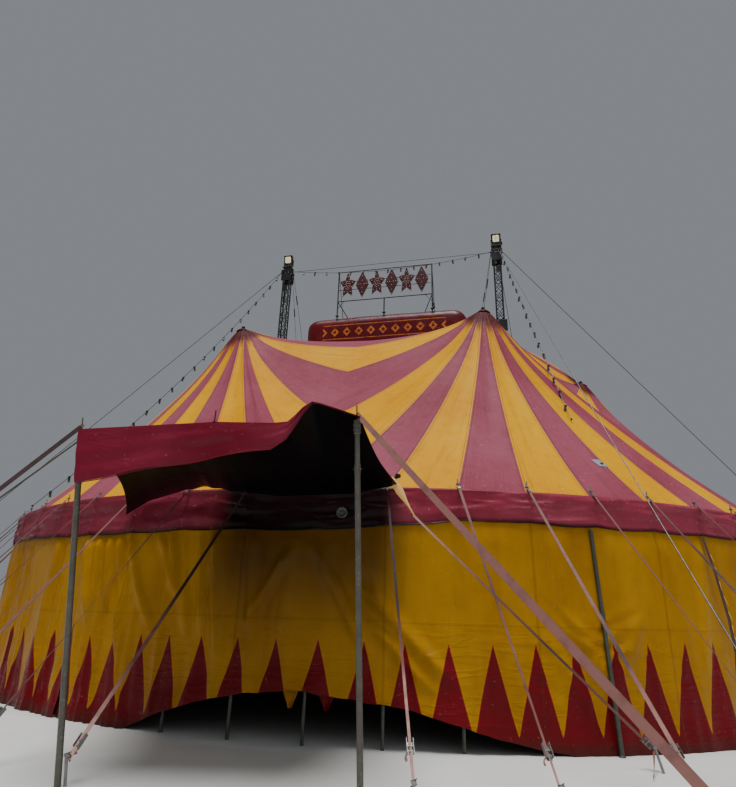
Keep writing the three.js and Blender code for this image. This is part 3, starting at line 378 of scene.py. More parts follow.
def rope_finish(w):
    """Twisted rope: strands wind round it."""
    turns = w.plus(w.times(w.value("along"), 210), w.times(w.value("across"), 9.4))
    strand = w.size(w.math("SINE", turns))
    # The grooves between strands are painted dark, as the shade that falls in them
    color = w.tones(strand, (28, 24, 24), (96, 84, 72))
    return {"Color": color, "Roughness": w.plus(w.times(strand, .2), .6), "Height": strand}


def glass_finish(w):
    """Ribbed lens of a floodlight, yellowed with age."""
    place = w.place()
    ribs = w.size(w.math("SINE", w.times(w.parts(place)[0], 160)))
    color = w.tones(w.ramp(w.noise(place, 14, 2), .3, .7), (246, 238, 196), (255, 250, 224))
    return {"Color": color, "Roughness": w.plus(w.times(ribs, .15), .15), "Height": ribs}


def bulb_finish(w):
    """Smoked glass with dust on it."""
    speck = w.noise(w.place(), 30, 2)
    color = w.tones(speck, (30, 34, 44), (64, 62, 66))
    return {"Color": color, "Roughness": w.ramp(speck, .3, .7, .1, .25)}


def cover_finish(w):
    """Dark red hood with a bordered row of lozenges painted along its face."""
    place = w.add("VectorMath", w.place(), tuple(MIDDLE), operation="SUBTRACT")
    x, y, z = w.parts(place)
    color = w.tones(w.ramp(w.noise(place, .9), .3, .7), (84, 3, 16), (98, 10, 28))
    off = w.size(w.less(z, 9.68))
    from_middle = w.plus(w.times(w.math("PINGPONG", x, .19), 1.15), off)
    lozenge = w.times(w.ramp(from_middle, .155, .148), w.ramp(from_middle, .06, .066))
    paint = w.math("MAXIMUM", lozenge, w.line(w.less(off, .235), .012, .004))
    flaked = w.ramp(w.noise(place, 9, 5, .6), .36, .5, .35, .92)
    on_face = w.times(w.ramp(w.size(x), 1.92, 1.9), w.ramp(y, -.55, -.58))
    color = w.mix(w.times(w.times(paint, on_face), flaked), color, tone(196, 112, 44))
    worn = w.group(CANVAS_WEAR, Color=color, Streaks=w.stretch(place, 3, 3, .5), Dirt=.18, Scuffs=.18)
    return look(worn, Height=w.plus(worn["Height"], w.times(w.group(CREASES, Vector=place)["Height"], .5)))


ROOF = material("roof canvas", roof_finish, .35, .02, Specular_IOR_Level=.05)
WALL = material("wall canvas", wall_finish, .4, .025,
                Specular_IOR_Level=.12, Coat_Weight=.05, Coat_Roughness=.26)
VALANCE = red_canvas("valance canvas", (130, 38, 56), (148, 60, 78), 0, hem=(50, 2, 12), shine=.12)
BAND = red_canvas("marquee band canvas", (104, 10, 31), (122, 29, 53), .06, dirt=.07, shine=.16)
# Near black: painted shade for the marquee's underside, the band's back and the valance's lower lip
NEAR_BLACK_SHADE = red_canvas("marquee lining in painted shade", (0, 1, 5), (1, 3, 10), 0, dirt=0, shine=.12)
CAP = red_canvas("peak cap canvas", (66, 8, 24), (80, 20, 34), 0, shine=.1)
COVER = material("cover canvas", cover_finish, .35, .02,
                 Specular_IOR_Level=.18, Coat_Weight=.05, Coat_Roughness=.3)
CREAM = small_canvas("cream canvas", (234, 184, 104), .2, .1)
PATCH = small_canvas("repair patch", (140, 148, 160), .35, .3)
MAST_STEEL = steel("mast steel", (30, 31, 34), .3, .35, .25)
POLE_STEEL = steel("pole steel", (88, 85, 76), .35, .3, .25)
PROP_STEEL = steel("prop steel", (70, 76, 66), .4, .3, .3)
WIRE = steel("wire rope", (50, 52, 52), .3, .3, .2)
BLACK = steel("black fitting", (18, 18, 20), .2, .2, .05)
ZINC = steel("zinc fitting", (150, 152, 152), .8, .4, .15)
SIGN_PAINT = steel("sign paint", (68, 4, 18), 0, .3, .1)
BULB = steel("frosted bulb", (206, 190, 176), 0, .1, 0)
STRAP = material("webbing", strap_finish, .25, .003)
ROPE = material("rope", rope_finish, .5, .004)
LENS = material("floodlight lens", glass_finish, .3, .004, Coat_Weight=.5, Coat_Roughness=.08,
                Emission_Color=tone(255, 244, 200), Emission_Strength=.25)
DARK_BULB = material("smoked bulb", bulb_finish, Coat_Weight=.6, Coat_Roughness=.1)


def place_floor_and_lights():
    """A pale floor under an even sky, with two soft suns."""
    def floor_finish(w):
        return {"Color": w.tones(w.noise(w.place(), 2.5, 5, .6), (196, 196, 192), (208, 208, 204))}
    bm = bmesh.new()
    bmesh.ops.create_grid(bm, x_segments=1, y_segments=1, size=70)
    bmesh.ops.translate(bm, verts=bm.verts, vec=(0, 0, -.002))
    mesh = bpy.data.meshes.new("floor")
    bm.to_mesh(mesh)
    floor = bpy.data.objects.new("floor", mesh)
    bpy.context.collection.objects.link(floor)
    mesh.materials.append(material("floor", floor_finish, Roughness=.9))
    world = bpy.data.worlds.new("studio")
    world.use_nodes = True
    sky = world.node_tree.nodes["Background"].inputs
    sky["Color"].default_value, sky["Strength"].default_value = tone(226, 232, 240), .30
    bpy.context.scene.world = world
    for name, aim, power, spread in (("key", (-.03, .17, -1), 3.8, 30), ("fill", (-.5, .7, -.5), .34, 60)):
        lamp = bpy.data.objects.new(name, bpy.data.lights.new(name, "SUN"))
        bpy.context.collection.objects.link(lamp)
        lamp.data.energy, lamp.data.angle = power, radians(spread)
        lamp.rotation_euler = Vector(aim).to_track_quat("-Z", "Y").to_euler()


# Making and finishing pieces
def clamp(value, low=0.0, high=1.0):
    return max(low, min(high, value))


def ease(start, end, value):
    """0 before start and 1 after end, smoothly; start may be above end."""
    share = clamp((value - start) / (end - start))
    return share * share * (3 - 2 * share)


def between(table, at):
    """Reads a table of (place, value) at a place, straight between its rows."""
    for (a, low), (b, high) in zip(table, table[1:]):
        if at <= b:
            return low + (high - low) * clamp((at - a) / (b - a))
    return table[-1][1]


def bell(distance, width):
    return exp(-(distance / width) ** 2)


def wander(x, y, z):
    return noise.noise(Vector((x, y, z)))


def hang(s, curve):
    """Share of the fall at a share s of the way, hanging below a straight line."""
    return s + curve * s * (1 - s)


def seam_point(bay, out, z):
    """A point out from the eave's oval, counted in bays from the middle of the front."""
    turn = bay * 2 * pi / BAYS
    normal = Vector((sin(turn) / EAVE_A, -cos(turn) / EAVE_B)).normalized()
    return Vector((EAVE_A * sin(turn) + normal.x * out, -EAVE_B * cos(turn) + normal.y * out, z))


def eave_point(bay, out, z):
    """The same with the eave straight from pin to pin."""
    before = floor(bay - .5) + .5
    return seam_point(before, out, z).lerp(seam_point(before + 1, out, z), bay - before)


def new_form(*values):
    """An empty form whose points carry these named values for its finish."""
    bm = bmesh.new()
    for name in values:
        bm.verts.layers.float.new(name)
    return bm


def grid(bm, columns, rows, place):
    """A sheet of cells; place(column, row) gives each corner's point and its named values."""
    verts = bmesh.ops.create_grid(bm, x_segments=columns, y_segments=rows, size=1)["verts"]
    layers = bm.verts.layers.float
    for vert in verts:
        column, row = round((vert.co.x + 1) / 2 * columns), round((vert.co.y + 1) / 2 * rows)
        vert.co, values = place(column, row)
        for name, value in values.items():
            vert[layers[name]] = value
    return verts


def outwards(place):
    return Vector((place.x, place.y, 0)).normalized()


def upwards(place):
    return up(1)


def forwards(place):
    return Vector((0, -1, 0))


def stand(at, direction):
    """Puts a form that stands on +Z at a place and turns it along a direction."""
    return Matrix.Translation(at) @ direction.to_track_quat("Z", "Y").to_matrix().to_4x4()


def rod(bm, start, end, radius, sides=8, tip=None):
    """A round bar; tip is the radius at its far end where that differs."""
    start, end = Vector(start), Vector(end)
    bmesh.ops.create_cone(bm, cap_ends=True, segments=sides, radius1=radius, radius2=tip or radius,
                          depth=(end - start).length, matrix=stand((start + end) / 2, end - start))


def block(bm, centre, size, turn=None):
    matrix = Matrix.Translation(Vector(centre)) @ (turn or Matrix()) @ Matrix.Diagonal((*size, 1))
    bmesh.ops.create_cube(bm, size=1, matrix=matrix)


def ball(bm, centre, radius, squash=(1, 1, 1), cells=8):
    matrix = Matrix.Translation(Vector(centre)) @ Matrix.Diagonal((*squash, 1))
    bmesh.ops.create_uvsphere(bm, u_segments=cells, v_segments=max(4, cells * 2 // 3),
                              radius=radius, matrix=matrix)


def settle(bm, known, matrix):
    """Faces the form's new points outwards and moves them to their place."""
    fresh = [vert for vert in bm.verts if vert not in known]
    bmesh.ops.recalc_face_normals(bm, faces=list({face for vert in fresh for face in vert.link_faces}))
    bmesh.ops.transform(bm, matrix=matrix, verts=fresh)


def turned(bm, start, end, profile, steps=20):
    """A round form about a line: the profile is (radius, distance from the start)."""
    start, end = Vector(start), Vector(end)
    known = set(bm.verts)
    verts = [bm.verts.new((radius, 0, distance)) for radius, distance in profile]
    edges = [bm.edges.new(pair) for pair in zip(verts, verts[1:])]
    bmesh.ops.spin(bm, geom=verts + edges, cent=(0, 0, 0), axis=(0, 0, 1), dvec=(0, 0, 0),
                   angle=2 * pi, steps=steps, use_merge=True, use_duplicate=False)
    bmesh.ops.remove_doubles(bm, verts=[vert for vert in bm.verts if vert not in known], dist=1e-6)
    settle(bm, known, stand(start, end - start))


def run(path, side=None):
    """Along a path: each point, its heading, a side that doesn't twist and the distance covered."""
    path = [Vector(point) for point in path]
    stations, covered = [], 0.0
    for i, point in enumerate(path):
        heading = (path[min(i + 1, len(path) - 1)] - path[max(i - 1, 0)]).normalized()
        side = side or heading.orthogonal()
        side = (side - heading * side.dot(heading)).normalized()
        covered += (point - path[i - 1]).length if i else 0
        stations.append((point, heading, side.copy(), covered))
    return stations


def tube(bm, path, radius, sides=6):
    """A closed round tube along a path."""
    stations = run(path)

    def place(column, row):
        point, heading, side, covered = stations[row]
        turn = 2 * pi * (column % sides) / sides
        around = side * cos(turn) + heading.cross(side) * sin(turn)
        return point + around * radius, {"along": covered, "across": 2 * column / sides}
    fresh = grid(bm, sides, len(path) - 1, place)
    bmesh.ops.remove_doubles(bm, verts=fresh, dist=radius * .01)
    bmesh.ops.holes_fill(bm, edges=[edge for edge in bm.edges if edge.is_boundary], sides=sides)


def ribbon(bm, path, width, side, twist=0.0, shade=.3):
    """A flat strap along a path, thickened when it is finished; shade is one value or a table along it."""
    stations = run(path, side)
    total = stations[-1][3]
    shades = shade if isinstance(shade, tuple) else ((0, shade),)

    def place(column, row):
        point, heading, across, covered = stations[row]
        turn = twist * covered / total
        across = across * cos(turn) + heading.cross(across) * sin(turn)
        return point + across * (column - 1) * width / 2, {
            "along": covered, "across": column - 1, "shade": between(shades, covered / total)}
    grid(bm, 2, len(path) - 1, place)


def straight(start, end, cells, sag=0.0):
    """Points from start to end, lower in between where the line sags."""
    start, end = Vector(start), Vector(end)
    return [start.lerp(end, t) - up(4 * sag * t * (1 - t)) for t in [i / cells for i in range(cells + 1)]]


def circle(radius, angle):
    return Vector((radius * cos(angle), radius * sin(angle), 0))


def paint(bm, index):
    """Faces made since the last call take the finish of that number."""
    for face in bm.faces:
        if not face.tag:
            face.material_index = index
            face.tag = True


def finish_piece(name, bm, finishes, slot, node=None, thickness=0.0, bevel=0.0, smooth=35, inner=0):
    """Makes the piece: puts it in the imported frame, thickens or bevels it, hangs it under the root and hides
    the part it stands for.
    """
    bmesh.ops.translate(bm, verts=bm.verts, vec=MIDDLE)
    bm.edges.index_update()
    borders = [edge.index for edge in bm.edges if edge.is_boundary]
    mesh = bpy.data.meshes.new(name)
    bm.to_mesh(mesh)
    bm.free()
    piece = bpy.data.objects.new(name, mesh)
    bpy.context.collection.objects.link(piece)
    for finish in finishes if isinstance(finishes, tuple) else (finishes,):
        mesh.materials.append(finish)
    mesh.polygons.foreach_set("use_smooth", [True] * len(mesh.polygons))
    mesh.set_sharp_from_angle(angle=radians(smooth))
    for index in borders:
        mesh.edges[index].use_edge_sharp = True
    if thickness:
        solid = piece.modifiers.new("thickness", "SOLIDIFY")
        solid.thickness, solid.offset, solid.material_offset = thickness, -1, inner
    if bevel:
        rounding = piece.modifiers.new("rounding", "BEVEL")
        rounding.width, rounding.segments, rounding.limit_method = bevel, 2, "ANGLE"
    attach(piece, "root")
    if node:
        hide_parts(node)
    return piece


def finish_sheet(name, bm, towards, flat, held, rests_on, *looks, area=None, **more):
    """Turns cloth to face a way and finishes it; how it lies is not used, nor its area."""
    bm.normal_update()
    if sum(face.normal.dot(towards(face.calc_center_median())) * face.calc_area() for face in bm.faces) < 0:
        bmesh.ops.reverse_faces(bm, faces=bm.faces)
    area = area or min(sum(face.calc_area() for face in bm.faces), flat[0] * flat[1])
    finish_piece(name, bm, *looks, **more)


def finish_cords(name, cords, *looks, sides=6):
    """One piece of round cords, each a radius and its path."""
    bm = new_form("along", "across")
    for radius, path in cords:
        tube(bm, path, radius, sides)
    bmesh.ops.recalc_face_normals(bm, faces=bm.faces)
    finish_piece(name, bm, *looks)


# Roof
def ridge_middle(a, b):
    middle = (a[1] + b[1]) / 2
    middle.z -= SIDE_SAG if a[1].x * b[1].x < 0 else CORNER_SAG
    return middle


def fall_from_peak(peak, end, s, curve):
    """Height of the canvas a share s of the way down from a peak, rounded off over the pole's flange."""
    length = (end - peak).xy.length
    slope = (peak.z - end.z) * (1 + curve) / length
    away = s * length
    swell = slope * (away - hypot(away, .22) + .22) * bell(away, .6) + .10 * bell(away, .3)
    return peak.z + (end.z - peak.z) * hang(s, curve) + swell


def gore_sag(gore, s):
    return GORE_SAG * sin(pi * (gore % 1)) ** 2 * sin(pi * s)


def maroon(distance, gore):
    """How far the maroon of a peak covers the stripes, in tongues that follow the gores."""
    tongue = .13 * sin(pi * gore) + .06 * wander(gore * 3, 1, 4)
    return .93 * ease(.52 + .8 * tongue, .36, distance)


def fan_rays(i):
    """The rays of a fan, from one ridge round by the eave to the other: end, curve, gore, at the eave."""
    first, last = FANS[i][2:]
    count = last - first

    def valley(neighbour, bay, gores):
        top, foot = ridge_middle(neighbour, FANS[i]), eave_point(bay, -LIP, EAVE_H)
        for t in VALLEY_STEPS:
            end = top.lerp(foot, t)
            end.z = top.z + (foot.z - top.z) * hang(t, .33)
            yield end, between(RAY_CURVES, t), between(gores, t), bay if t == 1 else None
    rays = list(valley(FANS[i - 1], first, VALLEY_GORES))
    for step in range(1, count * 10):
        bay = first + step / 10
        gore = bay - first + .5
        gore = between(((0, .6), (.5, 1)), bay - first) if gore < 1 else gore
        gore = count + .8 - 1.6 * (last - bay) if gore > count else gore
        rays.append((eave_point(bay, -LIP, EAVE_H), .25, gore, bay))
    far_gores = ((0, count + 4), (.172, count + 3), (.5, count + 2), (.84, count + 1), (1, count + .8))
    rays += reversed(list(valley(FANS[(i + 1) % 6], last, far_gores)))
    return [(end, curve, gore + i % 2, bay) for end, curve, gore, bay in rays]


def make_fan(i):
    """One fan of gores: each hangs a little between its seams and puckers near the eave's pins."""
    name, peak, first, last = FANS[i]
    rays = fan_rays(i)
    rows = 40
    bm = new_form("gore", "width", "down", "top")

    def place(column, row):
        end, curve, gore, bay = rays[column]
        before, after = rays[max(column - 1, 0)], rays[min(column + 1, len(rays) - 1)]
        start = PEAK_HOLE / (end - peak).xy.length
        s = start + (1 - start) * min(1, row / rows) ** 1.1
        point = peak.lerp(end, s)
        point.z = fall_from_peak(peak, end, s, curve) - gore_sag(gore, s)
        point.z += .012 * wander(gore * 3.3, s * 4, i) * ease(.5, .9, s) * ease(1, .93, s)
        if row > rows and bay is not None:
            point = eave_point(bay, 0, EAVE_H)
        width = (before[0] - after[0]).length / abs(before[2] - after[2]) * s
        away = point - peak
        top = maroon(away.xy.length, gore)
        return point, {"gore": gore, "width": width, "down": away.length, "top": top}
    grid(bm, len(rays) - 1, rows + 1, place)
    bmesh.ops.dissolve_degenerate(bm, edges=bm.edges, dist=1e-5)
    flat = (12.0 if last - first == 10 else 10.5, 9.0)
    finish_sheet(f"canvas_{name}", bm, upwards, flat, "stretched", [f"quarter_pole_{name}"],
                 ROOF, "roof_canvas", f"roof_{name}", CLOTH)


def make_crown(name, side, order):
    """Half of the crown: rose and yellow wedges from each peak up to the cupola's rim."""
    def on_rim(*places):
        return [Vector((x, y * side)) for x, y in places]
    rims = on_rim((-RING.x, 0), (-RIM_TURN, RING.y), (RIM_TURN, RING.y), (RING.x, 0))
    middle_rims = on_rim((-RIM_CORNER[0], RIM_CORNER[1]), (0, RING.y), RIM_CORNER)
    columns = []

    def half(peak, rim, middle, middle_rim, lean):
        """Columns from the peak, first, to the middle of the ridge."""
        at, ridge_end = peak.xy, middle.xy
        along, inward = (ridge_end - at).normalized(), (rim - at).normalized()
        spread = along.angle(inward)
        start = PEAK_HOLE / (ridge_end - at).length
        found = [(at + inward * PEAK_HOLE, peak.z + .09, rim, at, along, spread, lean)]
        for step in range(11):
            s = start + (1 - start) * step / 10
            found.append((at.lerp(ridge_end, s), fall_from_peak(peak, middle, s, RAY_CURVES[0][1]),
                          rim.lerp(middle_rim, s), at, along, spread, lean))
        return found
    for k, (a, b) in enumerate(zip(order, order[1:])):
        middle = ridge_middle(FANS[a], FANS[b])
        lean = (b if (b - a) % 6 == 1 else a) % 2
        columns += half(FANS[a][1], rims[k], middle, middle_rims[k], lean)
        columns += reversed(half(FANS[b][1], rims[k + 1], middle, middle_rims[k], lean))
    rows = 18
    bm = new_form("gore", "width", "down", "top")

    def place(column, row):
        at, low, rim, peak, along, spread, lean = columns[column]
        s = row / rows
        plan = (at * .9999).lerp(rim, s)
        if abs(plan.y) < .001:
            plan.y = .00015 * side
        away = plan - peak
        angle = along.angle(away) if away.length > 1e-6 else 0
        gore = -2 - lean - (1.5 + lean) * min(1.0, angle / spread)
        width = max(.02, away.length * spread / (1.5 + lean))
        point = Vector((plan.x, plan.y, low + (RING.z - low) * hang(s, .3)))
        return point, {"gore": gore, "width": width, "down": away.length, "top": maroon(away.length, gore)}
    grid(bm, len(columns) - 1, rows, place)
    bmesh.ops.dissolve_degenerate(bm, edges=bm.edges, dist=1e-5)
    finish_sheet(f"crown_{name}", bm, upwards, (12.5, 5.0), "stretched", ["cupola_frame"],
                 ROOF, "roof_canvas", f"roof_crown_{name}", CLOTH)


def make_quarter_pole(name, peak):
    """A round pole under a peak, with a flange, a laced cap of red canvas and a black knob."""
    bm = bmesh.new()
    seat = peak.z - .02
    turned(bm, peak.xy.to_3d(), peak, [
        (0, 0), (.09, 0), (.09, .012), (.05, .02), (.045, .05), (.045, seat - .05), (.118, seat - .03),
        (.118, seat - .012), (.025, seat), (.025, peak.z + .14)])
    finish_piece(f"pole_{name}", bm, POLE_STEEL, "pole_steel", f"quarter_pole_{name}")
    bm = bmesh.new()
    turned(bm, peak, peak + up(1),
           [(.026, .118), (.05, .112), (.08, .093), (.11, .068), (.14, .040), (.168, .008)], 28)
    for vert in bm.verts:
        spoke = atan2(vert.co.y - peak.y, vert.co.x - peak.x)
        vert.co.z += .005 * sin(spoke * 9) * ease(peak.z + .08, peak.z + .01, vert.co.z)
    finish_sheet(f"cap_{name}", bm, upwards, (.36, .36), "laid", [f"canvas_{name}"],
                 CAP, "red_canvas", thickness=.005, area=.10)
    bm = bmesh.new()
    turned(bm, peak, peak + up(1),
           [(0, .12), (.03, .12), (.042, .13), (.046, .148), (.04, .168), (.022, .178), (0, .18)])
    rod(bm, peak + up(.1), peak + up(.15), .035, 12)
    finish_piece(f"knob_{name}", bm, BLACK, "dark_steel")


# Walls and valance
FRONT_TIPS = [-3.446, -3.041, -2.53, -2.005, -1.526, -.986, -.455, .10, .65, 1.257, 1.768, 2.323, 2.89,
              3.454, 3.99, 4.55, 5.112, 5.72, 6.305]
EVEN_TIPS = [6.305 + (BAYS - 9.751) * k / 83 for k in range(1, 84)]
TIPS = [EVEN_TIPS[-2] - BAYS] + FRONT_TIPS + EVEN_TIPS
TIP_HEIGHTS = ((-4, 1.22), (0, 1.27), (3, 1.28), (6.5, 1.38), (12, 1.3), (53, 1.22))
HEM = ((-9, 0), (-2.1, 0), (-1.86, .10), (-1.5, .25), (-.91, .44), (-.21, .58), (.45, .64), (1.09, .555),
       (1.71, .50), (2.32, .34), (2.93, .17), (3.42, .066), (3.9, 0))
WALL_OUT, WALL_TOP = -.008, 3.2875
VALANCE_LOW = ((-14.5, 2.83), (-8, 2.8), (-4, 2.68), (-2.6, 2.68), (-1.1, 2.71), (.3, 2.69), (1, 2.73),
               (1.8, 2.79), (2.6, 2.87), (3.6, 2.87), (4.5, 2.85), (7.4, 2.88), (12, 2.85), (13.5, 2.83))
# Long folds of the front wall: bay and height of each end, half width and how far the fold stands out
LONG_FOLDS = [
    (-5.4, 2.75, -5.2, 1.3, .09, .05), (-4.6, 2.75, -4.44, 1.5, .08, .05), (-3.9, 2.75, -3.75, 1.2, .07, .04),
    (-3.5, 2.7, -3.24, 1.5, .08, .05), (-3.22, 2.7, -3.12, 1.6, .07, .045), (-2.98, 2.7, -2.84, 1.6, .07, .05),
    (-2.76, 2.7, -2.48, 1.2, .08, .05), (-2.56, 2.7, -1.94, 1.4, .07, .045), (-1.94, 2.7, -1.54, 1.8, .07, .04),
    (-1.72, 2.7, -1.38, 1.4, .07, .04), (-1.5, 2.7, -1.28, 1.3, .07, .05), (-1.24, 2.7, -1.02, 1.4, .07, .045),
    (-.94, 2.7, -.78, 1.2, .08, .065), (-.36, 2.65, -.3, 1.5, .08, .05), (.12, 2.3, -.28, 1.54, .08, .05),
    (.22, 2.6, .14, 1.3, .08, .035), (.6, 2.4, 1.16, 1.28, .10, .055), (.88, 2.0, 1.26, 1.2, .08, .04),
    (1.2, 2.3, 1.54, 1.6, .10, .045), (1.28, 1.86, 2.24, .9, .12, .05), (1.4, 1.42, 2.05, .74, .10, .045),
    (4.0, 1.6, 4.36, .9, .12, .03), (5.0, 1.6, 4.62, .9, .12, .028), (3.6, 1.35, 4.1, .6, .12, .025),
    (2.6, 2.6, 2.5, 1.8, .12, .02), (5.6, 2.7, 5.8, 1.2, .12, .03), (6.4, 2.7, 6.1, 1.0, .12, .03),
]


def spike_place(bay):
    """Counts the spikes along the wall: their tips fall on the halves, the notches on whole numbers."""
    for k, (a, b) in enumerate(zip(TIPS, TIPS[1:])):
        if bay <= b:
            return k + .5 + (bay - a) / (b - a)
    return len(TIPS) - .5


def long_fold(bay, z):
    """How far the folds that are listed one by one stand out here."""
    out = 0.0
    for a, top, b, low, width, height in LONG_FOLDS:
        share = (top - z) / (top - low)
        if -.25 < share < 1.25:
            ends = ease(-.25, .15, share) * ease(1.25, .8, share)
            out += 1.7 * height * bell(bay - a - (b - a) * share, width) * ends
    return out


def pole_creases(across, z):
    """Creases that run up and outwards from the pole the wall is tied to."""
    across += .06 * wander(z * 3, 2, 5)
    rise = z - .62 * abs(across) - .05 * sin(across * 7)
    folds = sum(height * bell(rise - foot, width)
                for foot, height, width in ((1.0, .022, .05), (1.22, .03, .06), (1.43, .02, .045)))
    return folds * ease(.95, .25, abs(across)) * ease(0, .12, abs(across))


def wall_fold(bay, z):
    """How far the wall stands out from its line: held by the valance above, looser below."""
    place = bay - BAYS if bay > 46 else bay
    gathered = .5 + .5 * wander(bay * .2, 1, 1)
    if place < 9:
        gathered = ease(.6, -1.2, place) * ease(-11, -9, place)
    low = between(VALANCE_LOW, place)
    loose = ease(low + .07, low - .32 + .1 * gathered, z)
    pleat = .5 - abs(wander(bay * 4.4 + .25 * sin(z * 1.7), z * .2, 8.4)) * 2.2
    out = .022 + .05 * wander(bay * 1.5, z * .3, 3.1) + (.014 + .045 * gathered) * pleat
    out += .008 * wander(bay * 7.5, z * 1.6, 5.0)
    crinkle = sin(z * 24 + 5 * wander(bay * 1.1, z * 1.4, 2)) * wander(bay * 1.7, z * 2, 6)
    out += .034 * crinkle * bell(place - 4.3, 1.2) * bell(z - 1.0, .5) + pole_creases(place - 4.3, z)
    return clamp(loose * (out + (long_fold(bay, z) if bay < 9 else 0)), -.009, .17)


def poles_along(first, last):
    """The groups of side poles that carry the canvas from one bay to another."""
    groups = range(floor((first + 7.5) / 14), ceil((last + 7.5) / 14))
    return [f"side_poles_{QUARTERS[k % 4]}" for k in groups]


def wall_sheet(name, node, first, cells, rows, hem=((0, 0),)):
    """Eight bays of wall."""
    def place(column, row):
        bay = first + column / cells
        low = between(hem, bay)
        z = low + (WALL_TOP - low) * row / rows
        out = WALL_OUT + wall_fold(bay, z)
        if low > .01:
            curl = ease(.35, 0, z - low) * ease(0, .3, low)
            out += curl * (.05 + .05 * wander(bay * 2.2, 4, 1))
            z += .018 * wander(bay * 5, 2, 7) * curl
        elif z < .35:
            out += .03 * ease(.35, 0, z)
        spike = spike_place(bay)
        jitter = wander(floor(spike) * 1.7, 3, 9)
        return eave_point(bay, out, z), {"spike": spike, "tip": between(TIP_HEIGHTS, bay) + .03 * jitter,
                                         "notch": .19 + .05 * jitter, "bay": bay + .5}
    bm = new_form("spike", "tip", "notch", "bay")
    grid(bm, 8 * cells, rows, place)
    finish_sheet(name, bm, outwards, (8 * 1.03, WALL_TOP), "hung", poles_along(first, first + 8),
                 WALL, "wall_canvas", node, CLOTH)


def make_flaps():
    """Two strips of the curtain's torn hem hang down behind the opening."""
    bm = new_form("spike", "tip", "notch", "bay")
    for bay, width, top, low, spike in ((.32, .26, .68, .42, 30.0), (.79, .28, .68, .41, 30.5)):
        def place(column, row, bay=bay, width=width, top=top, low=low, spike=spike):
            share = row / 8
            across = (column / 6 - .5) * width * (1 - .82 * share)
            out = -.03 + .03 * sin(column * 1.3) * share
            point = eave_point(bay + across, out, top + (low - top) * share)
            # their bay puts them in the painted shade under the marquee
            return point, {"spike": spike, "tip": .9, "notch": .1, "bay": .2}
        grid(bm, 6, 8, place)
    finish_sheet("curtain_flaps", bm, outwards, (.5, .34), "hung", ["curtain_canvas"],
                 WALL, "wall_canvas", thickness=.003, area=.09)


def to_pin(bay):
    return min((bay - .5) % 1, (.5 - bay) % 1)


def valance_out(bay, share):
    """The valance hangs from the pins: pleated beside them, with long slack rolls between them."""
    roll = wander(bay * .9, share * 2.6, 1.4)
    crease = .5 - abs(wander(bay * 1.4, share * 4.2, 6.6)) * 2.2
    pleat = cos(to_pin(bay) * 34) * bell(to_pin(bay), .13)
    tight = ease(0, .12, share) * ease(1.02, .9, share)
    out = .022 + .05 * roll * tight + .03 * crease * tight + .014 * pleat * ease(0, .3, share)
    out += .026 * share * ease(0, -1.2, bay)
    if -2.6 < bay < -.7:
        bulge = .035 * bell(bay + 1.15, .28) * sin(share * 3.1)
        out += bulge + .02 * cos(bay * 26) * bell(bay + 1.3, .4) * share
    return max(.003, out)


def valance_low(bay):
    """Height of the valance's lower edge, which hangs deepest beside the entrance."""
    return between(VALANCE_LOW, bay) - .012 * sin(pi * to_pin(bay)) - .012 * wander(bay * 2.1, 5, 2)


def make_valance(name, first):
    """Half of the valance and the folded lip along its lower edge."""
    bm = new_form("fall", "bay")
    cells, rows, head = 14, 22, EAVE_H + .012

    def place(column, row):
        bay, share = first + column / cells, row / rows
        out = valance_out(bay, share) if row else .004
        z = head + (valance_low(bay) - head) * share
        return eave_point(bay, out, z), {"fall": share, "bay": bay + .5}
    grid(bm, 28 * cells, rows, place)
    poles = poles_along(first + .1, first + 27.9)
    finish_sheet(f"valance_canvas_{name}", bm, outwards, (28.5, .49), "hung", poles,
                 VALANCE, "red_canvas", f"valance_{name}", .003, area=13.8)
    # The lip takes near black, painted as the shade under the valance's edge
    path = [eave_point(bay, valance_out(bay, 1) + .001, valance_low(bay))
            for bay in [first + k / 6 for k in range(28 * 6 + 1)]]
    finish_cords(f"valance_hem_{name}", [(.007, path)], NEAR_BLACK_SHADE, "red_canvas")


# Guys, pins and stakes
GUY_GROUPS = ["front_right", "right_front", "right_rear", "rear_right",
              "rear_left", "left_rear", "left_front", "front_left"]
PIN_H, GUY_REACH, LOOP_R = .17, 2.42, .006
# How light each strap is at these shares of its length, by its bay; whole numbers serve the others
STRAP_PLACES = (0, .3, .5, .68, .76, 1)
STRAP_SHADES = {
    1.5: (.15, .05, .03, .35, .85, .95), 2.5: (.4, .3, .2, .6, .3, .85), 3.5: (.42, .4, .35, .08, .6, .85),
    4.5: (.55, .42, .4, .3, .3, .4), 5.5: (.4, .12, .2, .3, .35, .4), -.5: (.3, .03, .05, .45, .6, .95),
    -1.5: (.35, .3, .4, .4, .45, .5), -2.5: (.42, .4, .3, .3, .5, .6), 0: (.4, .25, .1, .5, .8, .9),
    1: (.5, .45, .35, .3, .4, .7), 2: (.3, .1, .12, .4, .7, .8),
}


def stake(bm, foot, head, radius=.016):
    """A driven steel peg with a mushroomed head."""
    foot, head = Vector(foot), Vector(head)
    length = (head - foot).length
    turned(bm, foot, head, [(0, 0), (radius, 0), (radius, length - .03), (radius * 1.5, length - .022),
                            (radius * 1.55, length - .006), (0, length)], 12)


def set_along(side, heading):
    return Matrix((side, heading, heading.cross(side))).transposed().to_4x4()


def strap_side(heading):
    """The side of a strap that lies open to someone at the entrance."""
    return heading.cross(Vector((.25, -1, -.3))).normalized()


